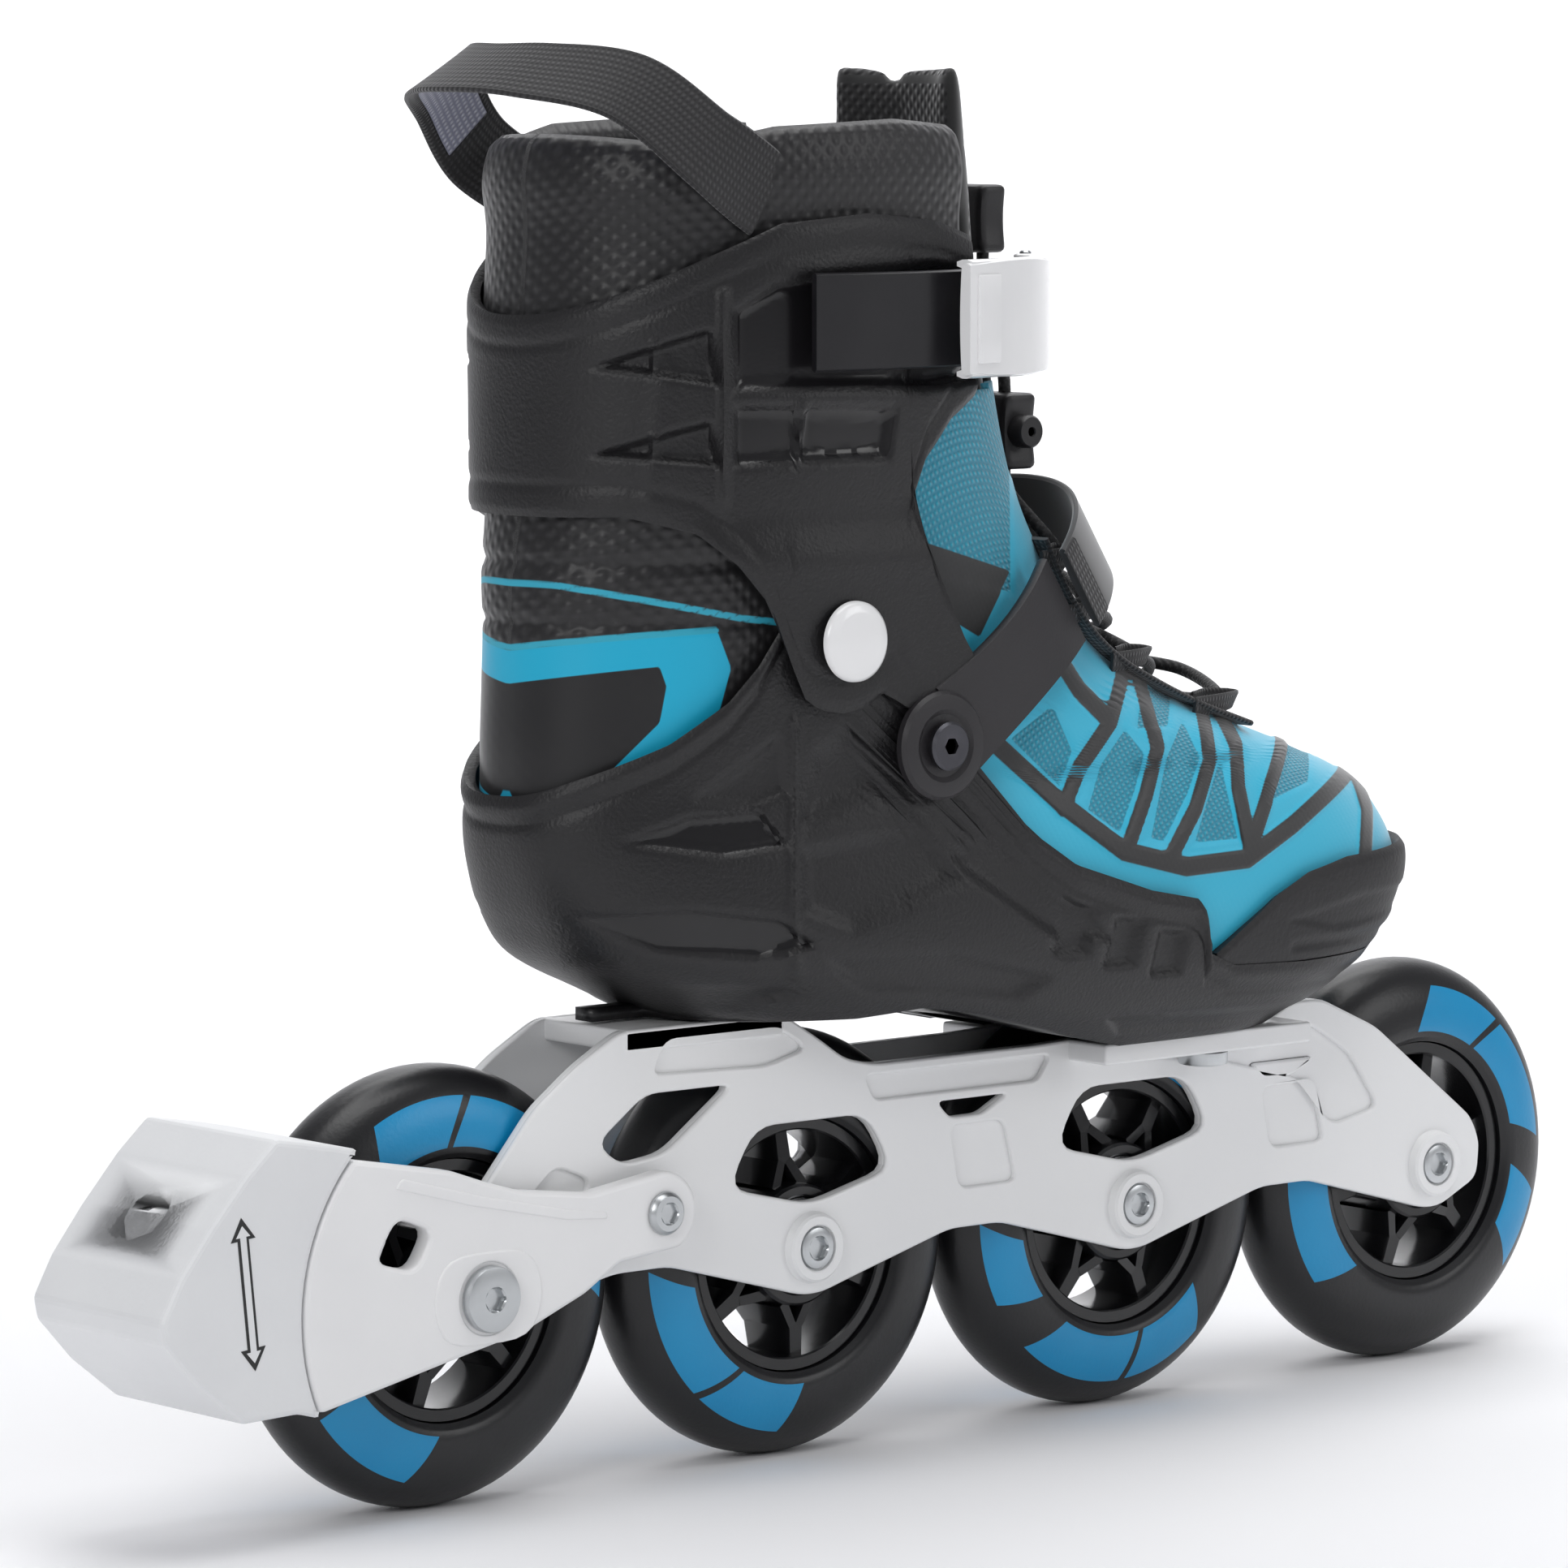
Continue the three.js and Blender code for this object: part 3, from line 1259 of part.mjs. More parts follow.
add('shell', shell(), CHARCOAL, 0.55);
add('cuff', cuff(), CHARCOAL, 0.55);
add('cuff_rivet_right', rivet(-1), WHITE, 0.4);
add('cuff_rivet_left', rivet(1), WHITE, 0.4);
add('toe_cap', toeCap(), 0x343234, 0.6);
add('textile_upper', textileUpper(), SKY, 0.7);
add('liner', liner(), BLACK, 0.9);
add('tongue', tongue(), BLACK, 0.9);
add('insole', insole(), 0x2a2a2c, 0.9);
add('pull_loop', pullLoop(), BLACK, 0.9);
add('buckle_base', buckleBase(), BLACK, 0.4);
add('buckle_lever', buckleLever(), WHITE, 0.35);
add('buckle_pin', leverPin(), ZINC, 0.3, 1);
add('buckle_pawl', bucklePawl(), ZINC, 0.4, 1);
add('ladder_strap', ladderStrap(), CHARCOAL, 0.45);
add('instep_plate_right', instepPlate(-1), CHARCOAL, 0.5);
add('instep_plate_left', instepPlate(1), CHARCOAL, 0.5);
add('instep_screw_right', instepScrew(-1), 0x4a4a4c, 0.3, 1);
add('instep_screw_left', instepScrew(1), 0x4a4a4c, 0.3, 1);
add('instep_strap', instepStrap(), BLACK, 0.8);
add('lace_stay_right', laceStay(-1), BLACK, 0.9);
add('lace_stay_left', laceStay(1), BLACK, 0.9);
add('lace', lace(), BLACK, 0.9);
add('lace_lock', laceLock(), 0x2c2b2d, 0.5);
add('lace_lock_button', lockButton(), 0x2c2b2d, 0.5);
add('lace_puller', lacePuller(), 0x2c2b2d, 0.5);

// The origin lies on the ground under the middle of the skate's length.
const REAR_END = Math.min(...PAD_LINE.map(([x]) => x));
const FRONT_END = FRAME_LENGTH + WHEEL_R;
skate.position.x = -(REAR_END + FRONT_END) / 2;

const part = new THREE.Group();
part.add(skate);

export default part;
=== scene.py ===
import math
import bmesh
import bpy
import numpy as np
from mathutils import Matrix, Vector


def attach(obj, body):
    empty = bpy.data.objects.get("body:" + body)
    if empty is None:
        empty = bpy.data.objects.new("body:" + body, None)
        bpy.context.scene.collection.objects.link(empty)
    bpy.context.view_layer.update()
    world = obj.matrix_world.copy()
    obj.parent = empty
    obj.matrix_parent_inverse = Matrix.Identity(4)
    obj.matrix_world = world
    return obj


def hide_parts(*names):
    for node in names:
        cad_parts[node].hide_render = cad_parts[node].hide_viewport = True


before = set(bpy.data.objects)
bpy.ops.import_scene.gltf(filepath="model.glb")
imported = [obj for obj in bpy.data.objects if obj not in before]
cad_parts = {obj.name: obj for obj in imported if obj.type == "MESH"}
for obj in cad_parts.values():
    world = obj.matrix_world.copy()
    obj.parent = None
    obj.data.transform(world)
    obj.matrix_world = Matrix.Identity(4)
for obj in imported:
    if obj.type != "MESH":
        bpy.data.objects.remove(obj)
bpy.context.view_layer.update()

# %% [markdown]
# # An inline skate, from CAD frame to finished looks
# The engineering model is loaded first. It fixes every size, and this script adds the looks:
# smooth moulded shells, woven fabric, rubber, straps and laces. Each new piece takes the place
# of one or more plain CAD solids and moves with the same body.

# %% [markdown]
# ## Working units
# A skate maker thinks in millimetres from the rear axle, so the sizes below are written that way:
# X forwards to the toe, Y to the inner side of the foot, Z up from the ground. One function turns
# such a point into the scene's metres, where X = 0 is the middle of the skate's length.

# %% From maker's millimetres to scene metres
MIDDLE = 133.0


def place(x, y, z):
    return ((x - MIDDLE) / 1000, y / 1000, z / 1000)


print("rear axle at", place(0, 0, 50))

# %% [markdown]
# ## Camera, floor and light
# A long lens from far away keeps the skate's proportions true, as in a catalogue picture.
# The floor is pale and plain. One large soft light above, one from the left and a weak one from the
# right wrap round the shapes, and a pale sky fills the shadows.

# %% Camera
camera = bpy.data.objects.new("camera", bpy.data.cameras.new("camera"))
bpy.context.scene.collection.objects.link(camera)
camera.location = (-1.158, -1.325, 0.326)
camera_target = Vector((-0.0261, 0, 0.156))
look = camera_target - camera.location
camera.rotation_euler = look.to_track_quat("-Z", "Y").to_euler()
camera.data.sensor_width = 36
camera.data.lens = 173.4
bpy.context.scene.camera = camera
print("camera looks along", [round(v, 3) for v in look.normalized()])

# %% Mesh from plain lists
def mesh_object(name, points, faces, sharp=35):
    mesh = bpy.data.meshes.new(name)
    mesh.from_pydata([tuple(map(float, p)) for p in points], [], faces)
    form = bmesh.new()
    form.from_mesh(mesh)
    bmesh.ops.remove_doubles(form, verts=form.verts, dist=2e-6)
    bmesh.ops.recalc_face_normals(form, faces=form.faces)
    form.to_mesh(mesh)
    form.free()
    mesh.shade_smooth()
    mesh.set_sharp_from_angle(angle=math.radians(sharp))
    piece = bpy.data.objects.new(name, mesh)
    bpy.context.scene.collection.objects.link(piece)
    return piece


# %% Floor and soft light
away = Vector((1.132, 1.325, 0)).normalized()
aside = Vector((-away.y, away.x, 0))
curve = [(-3.0, 0.0), (1.6, 0.0)] + [(1.6 + 1.4 * math.sin(t * math.pi / 24),
    1.4 - 1.4 * math.cos(t * math.pi / 24)) for t in range(1, 13)] + [(3.0, 4.0)]
sweep_points = [tuple(away * along + aside * side + Vector((0, 0, up))) for along,
    up in curve for side in (-4, 4)]
floor = mesh_object("paper_floor", sweep_points,
    [(2 * k, 2 * k + 1, 2 * k + 3, 2 * k + 2) for k in range(len(curve) - 1)], 80)
if floor.data.polygons[0].normal.z < 0:
    floor.data.flip_normals()
lights = {"above": (27, 1.6, (0.1, -0.2, 2.2)), "left": (15, 1.0, (-2.2, -1.0, 1.3)),
    "right": (8, 1.0, (1.4, -2.0, 1.1)), "paper": (50, 2.0, (1.2, 1.3, 2.4))}
for label, (power, width, spot) in lights.items():
    light = bpy.data.objects.new(label, bpy.data.lights.new(label, "AREA"))
    bpy.context.scene.collection.objects.link(light)
    light.data.energy = power
    light.data.size = width
    light.location = spot
    aim = Vector((2.0, 2.4, 0.7)) if label == "paper" else Vector((0, 0, 0.15))
    light.rotation_euler = (aim - light.location).to_track_quat("-Z", "Y").to_euler()
world = bpy.data.worlds.new("pale room")
world.use_nodes = True
world.node_tree.nodes["Background"].inputs["Color"].default_value = (0.95, 0.96, 1.0, 1)
world.node_tree.nodes["Background"].inputs["Strength"].default_value = 0.3
bpy.context.scene.world = world
bpy.context.scene.view_settings.view_transform = "Standard"
print("lights", list(lights))

# %% [markdown]
# ## How the materials are written
# Each material is named for the real one. Colours are written as sRGB hex, as a designer picks them,
# and one function turns them into the linear values that the renderer adds up. A second small
# function adds one node with its settings and links, so that a material reads from top to bottom.

# %% Colour and node helpers
def linear(hex_colour):
    parts = [int(hex_colour[i : i + 2], 16) / 255 for i in (1, 3, 5)]
    return tuple(p / 12.92 if p < 0.04045 else ((p + 0.055) / 1.055) ** 2.4 for p in parts) + (1.0,)


def add(material, kind, inputs=None, **settings):
    made = material.node_tree.nodes.new(kind)
    for key, value in settings.items():
        setattr(made, key, value)
    for socket, value in (inputs or {}).items():
        if isinstance(value, bpy.types.NodeSocket):
            material.node_tree.links.new(value, made.inputs[socket])
        else:
            made.inputs[socket].default_value = value
    return made


def blank(name, colour, roughness, **shader):
    material = bpy.data.materials.new(name)
    material.use_nodes = True
    surface = material.node_tree.nodes["Principled BSDF"]
    surface.inputs["Base Color"].default_value = linear(colour)
    surface.inputs["Roughness"].default_value = roughness
    for socket, value in shader.items():
        surface.inputs[socket.replace("_", " ")].default_value = value
    return material, surface


def link(material, output, socket):
    material.node_tree.links.new(output, socket)


paper, sheet = blank("white background paper", "#f4f4f5", 0.85)
pulp = add(paper, "ShaderNodeTexNoise", {"Scale": 3.0, "Detail": 3.0})
tone = add(paper, "ShaderNodeMix", {"Factor": pulp.outputs["Fac"]}, data_type="RGBA")
tone.inputs[6].default_value = linear("#f1f1f3")
tone.inputs[7].default_value = linear("#f7f7f8")
link(paper, tone.outputs[2], sheet.inputs["Base Color"])
floor.data.materials.append(paper)
print("white paint is", [round(v, 3) for v in linear("#f1f0ee")[:3]])
# %% [markdown]
# ## Moulded and painted surfaces
# Moulded plastic is never one flat tone: the mould's grain breaks up the shine, and gloss changes a
# little from place to place. The grain is a bump at its real size. Where the real grain is finer
# than the picture can show, it is drawn a little coarser.

# %% Charcoal polypropylene, moulded with a leather grain
def moulded(name, dark, light, roughness, grain_mm, grain_height, polished=None, **shader):
    material, surface = blank(name, dark, roughness, **shader)
    coords = add(material, "ShaderNodeTexCoord")
    patches = add(material, "ShaderNodeTexNoise", {"Vector": coords.outputs["Object"], "Scale": 38.0,
        "Detail": 3.0})
    tone = add(material, "ShaderNodeMix", {"Factor": patches.outputs["Fac"]}, data_type="RGBA")
    tone.inputs[6].default_value = linear(dark)
    tone.inputs[7].default_value = linear(light)
    link(material, tone.outputs[2], surface.inputs["Base Color"])
    shine = add(material, "ShaderNodeMapRange", {"Value": patches.outputs["Fac"],
        "To Min": roughness - 0.06, "To Max": roughness + 0.08})
    gloss, depth = shine.outputs["Result"], grain_height
    if polished:
        facet = add(material, "ShaderNodeAttribute", attribute_name=polished)
        on = add(material, "ShaderNodeMapRange", {"Value": facet.outputs["Fac"], "From Min": -0.3,
            "From Max": 0.5})
        gloss = add(material, "ShaderNodeMix", {"Factor": on.outputs["Result"], "A": gloss,
            "B": 0.2}).outputs["Result"]
        depth = add(material, "ShaderNodeMix", {"Factor": on.outputs["Result"], "A": grain_height,
            "B": 0.02}).outputs["Result"]
    link(material, gloss, surface.inputs["Roughness"])
    grain = add(material, "ShaderNodeTexVoronoi", {"Vector": coords.outputs["Object"],
        "Scale": 1000 / grain_mm}, feature="SMOOTH_F1")
    fine = add(material, "ShaderNodeTexNoise", {"Vector": coords.outputs["Object"],
        "Scale": 1400 / grain_mm, "Detail": 2.0})
    both = add(material, "ShaderNodeMath", {0: grain.outputs["Distance"], 1: fine.outputs["Fac"]},
        operation="ADD")
    bump = add(material, "ShaderNodeBump", {"Height": both.outputs["Value"], "Strength": depth,
        "Distance": 0.0002})
    link(material, bump.outputs["Normal"], surface.inputs["Normal"])
    return material


# Injection-moulded polypropylene with an etched grain of about 0.8 mm: dark, dry, softly shiny.
# Where a point lies inside a polished facet of the mould, the grain stops and the shine rises.
shell_plastic = moulded("grained polypropylene", "#121113", "#1c1b1d", 0.44, 0.9, 0.5, polished="polish")
# Thermoplastic toe cap with a coarser grain, a little browner from its fillers.
cap_plastic = moulded("grained thermoplastic", "#171618", "#222123", 0.55, 1.2, 0.55)
# Nylon buckle parts: black, hard, slightly glossy.
buckle_plastic = moulded("moulded nylon", "#141316", "#1c1b1f", 0.3, 1.6, 0.1)
# Polyurethane ladder strap: flexible, satin.
strap_plastic = moulded("moulded polyurethane", "#232225", "#2d2c2f", 0.4, 1.4, 0.16)
# White ABS, moulded against a fine spark-eroded surface: satin, with barely any grain to see.
white_plastic = moulded("white ABS", "#e9e9ea", "#f3f3f3", 0.34, 1.1, 0.08)
# White glossy ABS for the lever and the pivot caps.
gloss_white = moulded("polished white ABS", "#eeeeef", "#f6f6f6", 0.16, 3.0, 0.03, Coat_Weight=0.3)
# Cast urethane brake stop: matt white with a little yellow-grey.
stop_rubber = moulded("cast white urethane", "#dfe0e2", "#eaebec", 0.5, 1.2, 0.18)
# Olive nylon of the nut that is clamped behind the stop.
nut_plastic = moulded("olive nylon", "#57703a", "#68834a", 0.5, 1.0, 0.2)
print("moulded plastics:", len(bpy.data.materials))

# %% [markdown]
# Powder coating is a baked plastic film on the aluminium. It melts as it cures, so it shows a soft
# waviness called orange peel, a couple of millimetres from crest to crest, under an even gloss.

# %% White powder-coated aluminium
frame_paint, paint = blank("white powder coating", "#eeeeef", 0.3, Coat_Weight=0.25, Coat_Roughness=0.12)
coords = add(frame_paint, "ShaderNodeTexCoord")
peel = add(frame_paint, "ShaderNodeTexNoise", {"Vector": coords.outputs["Object"], "Scale": 420.0,
    "Detail": 1.5})
tint = add(frame_paint, "ShaderNodeTexNoise", {"Vector": coords.outputs["Object"], "Scale": 14.0,
    "Detail": 2.0})
shade = add(frame_paint, "ShaderNodeMix", {"Factor": tint.outputs["Fac"]}, data_type="RGBA")
shade.inputs[6].default_value = linear("#e6e7e9")
shade.inputs[7].default_value = linear("#f5f5f4")
link(frame_paint, shade.outputs[2], paint.inputs["Base Color"])
bump = add(frame_paint, "ShaderNodeBump", {"Height": peel.outputs["Fac"], "Strength": 0.12,
    "Distance": 0.0004})
link(frame_paint, bump.outputs["Normal"], paint.inputs["Normal"])

# %% [markdown]
# Bolts are steel, turned or cold-headed and then zinc plated. The plating is bright but not a mirror:
# fine turning marks and handling blur the reflections.

# %% Zinc-plated steel, black-plated steel and the bearing's ground steel
def plated(name, colour, roughness):
    material, surface = blank(name, colour, roughness, Metallic=1.0)
    coords = add(material, "ShaderNodeTexCoord")
    marks = add(material, "ShaderNodeTexNoise", {"Vector": coords.outputs["Object"], "Scale": 650.0,
        "Detail": 4.0})
    blur = add(material, "ShaderNodeMapRange", {"Value": marks.outputs["Fac"], "To Min": roughness - 0.08,
        "To Max": roughness + 0.14})
    link(material, blur.outputs["Result"], surface.inputs["Roughness"])
    bump = add(material, "ShaderNodeBump", {"Height": marks.outputs["Fac"], "Strength": 0.12,
        "Distance": 0.0001})
    link(material, bump.outputs["Normal"], surface.inputs["Normal"])
    return material


zinc_steel = plated("zinc-plated steel", "#c3c6c8", 0.3)
black_steel = plated("black-plated steel", "#55555a", 0.36)
ground_steel = plated("ground bearing steel", "#b4b6b9", 0.22)
# The bearing's dust shield is thin steel with red paint baked on it.
red_shield = moulded("red enamelled steel", "#a5201c", "#bd2c26", 0.34, 1.0, 0.05)
print("metals ready")

# %% [markdown]
# ## Wheels: cast urethane with a printed band
# A skate tyre is polyurethane cast round the hub: almost black, satin, with a faint mould texture.
# Two blue curved bands are printed on its side. Each tyre's own centre is at its axle, so the angle
# and the radius of a point come straight from its own coordinates, and the bands follow the wheel
# as it turns.

# %% Cast urethane with printed arcs
def tyre_material():
    material, surface = blank("cast black urethane", "#151517", 0.34)
    coords = add(material, "ShaderNodeTexCoord")
    split = add(material, "ShaderNodeSeparateXYZ", {"Vector": coords.outputs["Object"]})
    flat = add(material, "ShaderNodeCombineXYZ", {"X": split.outputs["X"], "Y": split.outputs["Z"]})
    radius = add(material, "ShaderNodeVectorMath", {0: flat.outputs["Vector"]}, operation="LENGTH")
    angle = add(material, "ShaderNodeMath", {0: split.outputs["Z"], 1: split.outputs["X"]},
        operation="ARCTAN2")
    turned = add(material, "ShaderNodeAttribute", attribute_type="OBJECT", attribute_name="turn")
    back = add(material, "ShaderNodeMath", {0: angle.outputs["Value"], 1: turned.outputs["Fac"]},
        operation="SUBTRACT")
    angle = add(material, "ShaderNodeMath", {0: back.outputs["Value"], 1: math.pi, 2: -math.pi},
        operation="WRAP")
    # The ends of each band are slanted: the angle is shifted a little with the radius.
    slant = add(material, "ShaderNodeMath", {0: radius.outputs["Value"], 1: 14.0,
        2: angle.outputs["Value"]}, operation="MULTIPLY_ADD")

    def between(value, low, high):
        above = add(material, "ShaderNodeMath", {0: value, 1: low}, operation="GREATER_THAN")
        below = add(material, "ShaderNodeMath", {0: value, 1: high}, operation="LESS_THAN")
        return add(material, "ShaderNodeMath", {0: above.outputs["Value"], 1: below.outputs["Value"]},
            operation="MULTIPLY").outputs["Value"]

    ring = between(radius.outputs["Value"], 0.0325, 0.0438)
    long_arc = between(slant.outputs["Value"], 0.66, 2.06)
    short_arc = between(slant.outputs["Value"], -0.14, 0.34)
    # The angle jumps from half a turn to minus half a turn, so the third arc is kept below the jump.
    third_arc = between(slant.outputs["Value"], -2.62, -1.86)
    notch = between(slant.outputs["Value"], 1.42, 1.47)
    open_notch = add(material, "ShaderNodeMath", {0: 1.0, 1: notch}, operation="SUBTRACT")
    two = add(material, "ShaderNodeMath", {0: long_arc, 1: short_arc}, operation="MAXIMUM")
    arcs = add(material, "ShaderNodeMath", {0: two.outputs["Value"], 1: third_arc}, operation="MAXIMUM")
    cut = add(material, "ShaderNodeMath", {0: arcs.outputs["Value"], 1: open_notch.outputs["Value"]},
        operation="MULTIPLY")
    printed = add(material, "ShaderNodeMath", {0: cut.outputs["Value"], 1: ring}, operation="MULTIPLY")
    wear = add(material, "ShaderNodeTexNoise", {"Vector": coords.outputs["Object"], "Scale": 60.0,
        "Detail": 5.0})
    blue = add(material, "ShaderNodeMix", {"Factor": wear.outputs["Fac"]}, data_type="RGBA")
    blue.inputs[6].default_value = linear("#0689c0")
    blue.inputs[7].default_value = linear("#0f97cc")
    black = add(material, "ShaderNodeMix", {"Factor": wear.outputs["Fac"]}, data_type="RGBA")
    black.inputs[6].default_value = linear("#0f0f11")
    black.inputs[7].default_value = linear("#1b1b1e")
    colour = add(material, "ShaderNodeMix", {"Factor": printed.outputs["Value"]}, data_type="RGBA")
    link(material, black.outputs[2], colour.inputs[6])
    link(material, blue.outputs[2], colour.inputs[7])
    link(material, colour.outputs[2], surface.inputs["Base Color"])
    skin = add(material, "ShaderNodeTexNoise", {"Vector": coords.outputs["Object"], "Scale": 900.0,
        "Detail": 3.0})
    bump = add(material, "ShaderNodeBump", {"Height": skin.outputs["Fac"], "Strength": 0.25,
        "Distance": 0.0002})
    link(material, bump.outputs["Normal"], surface.inputs["Normal"])
    return material


urethane = tyre_material()
# The hub core is glass-filled nylon: black and glossy.
hub_nylon = moulded("glass-filled nylon", "#0f0f11", "#19191b", 0.2, 2.4, 0.05)

# %% [markdown]
# ## Turned shapes
# Tyres, bearings and bolt heads are all shapes turned about an axis across the skate. One function
# takes a closed profile of radius and Y and spins it. A profile point marked as a hexagon gives the
# flats of a key socket in the same spin.

# %% Spin a profile about an axle
def spin(name, profile, x, z, sides=72, sharp=35, own_centre=False):
    points = []
    for i in range(sides):
        turn = 2 * math.pi * i / sides
        for radius, y, *hexed in profile:
            flat = (turn % (math.pi / 3)) - math.pi / 6
            reach = radius / math.cos(flat) if hexed else radius
            points.append((reach * math.cos(turn), y, reach * math.sin(turn)))
    count = len(profile)
    faces = []
    for i in range(sides):
        j = (i + 1) % sides
        for k in range(count):
            m = (k + 1) % count
            faces.append((i * count + k, i * count + m, j * count + m, j * count + k))
    if own_centre:
        piece = mesh_object(name, [(a / 1000, b / 1000, c / 1000) for a, b, c in points], faces, sharp)
        piece.location = place(x, 0, z)
        return piece
    return mesh_object(name, [place(x + a, b, z + c) for a, b, c in points], faces, sharp)


def dress(piece, body, slot, material, *nodes):
    piece.data.materials.append(material)
    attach(piece, body)
    if nodes:
        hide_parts(*nodes)
    return piece


# %% [markdown]
# ## Tyres, hubs and bearings
# The tyre is widest low on its side and rounds over to a narrow crown. The hub has a rim, a
# bearing seat and six spokes that fork into a Y towards the rim, with a small triangle between
# the arms of each fork. A bearing shows an outer ring, a red dust shield set a little in, and an
# inner ring.

# %% Tyre profile
PITCH = 305 / 3
WHEEL_R = 50


def tyre_profile():
    outer = []
    for i in range(33):
        t = math.pi * i / 32
        side = -math.cos(t)
        rise = math.sin(t) ** 0.82
        outer.append((31.5 + 18.5 * rise, 12.0 * math.copysign(abs(side) ** 0.9, side)))
    return outer + [(30.9, 11.4), (29.9, 10.6), (29.9, -10.6), (30.9, -11.4)]


def hub_object(name, x, turn):
    rim = [(26.6, -9.2), (27.0, -9.6), (29.5, -9.6), (29.6, -9.2), (29.6, 9.2), (29.5, 9.6), (27.0, 9.6),
        (26.6, 9.2), (26.2, 6), (26.0, 0), (26.2, -6)]
    boss = [(11.3, -11.6), (11.8, -12), (13.6, -12), (14.2, -11.4), (14.6, -6), (14.6, 6), (14.2, 11.4),
        (13.6, 12), (11.8, 12), (11.3, 11.6)]
    parts = [spin(name + "_rim", rim, x, WHEEL_R, own_centre=True),
        spin(name + "_boss", boss, x, WHEEL_R, own_centre=True)]
    points, faces = [], []

    def bar(a, b, wa, wb, da, db):
        along = np.array(b, float) - a
        side = np.array([-along[1], along[0]]) / np.hypot(*along)
        start = len(points)
        for end, width, depth in ((np.array(a, float), wa, da), (np.array(b, float), wb, db)):
            for y, share in ((-depth, 0.72), (-depth + 1.2, 1.0), (depth - 1.2, 1.0), (depth, 0.72)):
                for s in (-1, 1):
                    p = end + side * s * width / 2 * share
                    points.append((p[0] / 1000, y / 1000, p[1] / 1000))
        ring = [start + k for k in (0, 2, 4, 6, 7, 5, 3, 1)]
        for k in range(8):
            m = (k + 1) % 8
            faces.append((ring[k], ring[m], ring[m] + 8, ring[k] + 8))
        faces.append(tuple(reversed(ring)))
        faces.append(tuple(r + 8 for r in ring))

    for i in range(6):
        angle = turn + i * math.pi / 3
        out = np.array([math.cos(angle), math.sin(angle)])
        side = np.array([-out[1], out[0]])
        for s in (-1, 1):
            bar(out * 13.4 + side * 4.2 * s, out * 19.5 + side * 1.0 * s, 3.4, 3.0, 9.5, 8.4)
        bar(out * 18.8, out * 26.9, 5.2, 4.6, 8.4, 7.6)
    spokes = mesh_object(name, points, faces, 30)
    spokes.location = place(x, 0, WHEEL_R)
    for part in parts:
        merge_into(spokes, part)
    return spokes


def merge_into(target, part):
    form = bmesh.new()
    form.from_mesh(target.data)
    form.from_mesh(part.data)
    form.to_mesh(target.data)
    form.free()
    target.data.shade_smooth()
    target.data.set_sharp_from_angle(angle=math.radians(32))
    bpy.data.objects.remove(part)


# %% Four wheels
for i in range(4):
    number, x = i + 1, i * PITCH
    body = f"wheel_{number}"
    tyre = spin(f"urethane_tyre_{number}", tyre_profile(), x, WHEEL_R, sides=96, sharp=50, own_centre=True)
    # The wheels stand at different turns, so each printed band shows somewhere else.
    tyre["turn"] = math.radians((35, 180, 225, 0)[i])
    dress(tyre, body, "tyre_rubber", urethane, f"tyre_{number}")
    hub = hub_object(f"spoked_hub_{number}", x, 0.26 + i * 0.35)
    dress(hub, body, "hub_nylon", hub_nylon, f"hub_{number}")
    for label, s in (("right", -1), ("left", 1)):
        near, far = 5.2 * s, 12 * s
        profile = [(4, near), (11, near), (11, far - 0.4 * s), (10.7, far), (9.4, far),
            (9.2, far - 0.8 * s), (6.3, far - 0.8 * s), (6.1, far), (4.3, far), (4, far - 0.3 * s)]
        bearing = spin(f"ball_bearing_{number}_{label}", profile, x, WHEEL_R, sides=48)
        dress(bearing, body, "bearing_shield", ground_steel, f"bearing_{number}_{label}")
        bearing.data.materials.append(red_shield)
        for face in bearing.data.polygons:
            spread = math.hypot(face.center.x - (x - MIDDLE) / 1000, face.center.z - 0.05)
            if 0.0066 < spread < 0.0092 and abs(face.center.y) > 0.0105:
                face.material_index = 1
# %% [markdown]
# ## Flat parts with rounded edges
# The frame's walls and the brake arm's cheeks are flat plates with cut-outs. A filled 2D curve is the
# natural tool: the outline and each hole are one closed line, `extrude` gives the thickness and
# `bevel_depth` rounds every edge at once. The curve is then turned into a mesh.

# %% Rounded outlines and plates
def rounded(corners, radius, steps=5):
    line = []
    for i, corner in enumerate(corners):
        at = np.array(corner, float)
        before = np.array(corners[i - 1], float) - at
        after = np.array(corners[(i + 1) % len(corners)], float) - at
        a = at + before / np.hypot(*before) * min(radius, np.hypot(*before) * 0.45)
        b = at + after / np.hypot(*after) * min(radius, np.hypot(*after) * 0.45)
        for t in np.linspace(0, 1, steps):
            line.append(tuple(a * (1 - t) ** 2 + at * 2 * t * (1 - t) + b * t * t))
    return line


def circle(x, z, radius, sides=40):
    return [(x + radius * math.cos(2 * math.pi * i / sides),
        z + radius * math.sin(2 * math.pi * i / sides)) for i in range(sides)]


def arc(x, z, radius, start, end, steps):
    return [(x + radius * math.cos(math.radians(a)),
        z + radius * math.sin(math.radians(a))) for a in np.linspace(start, end, steps + 1)]


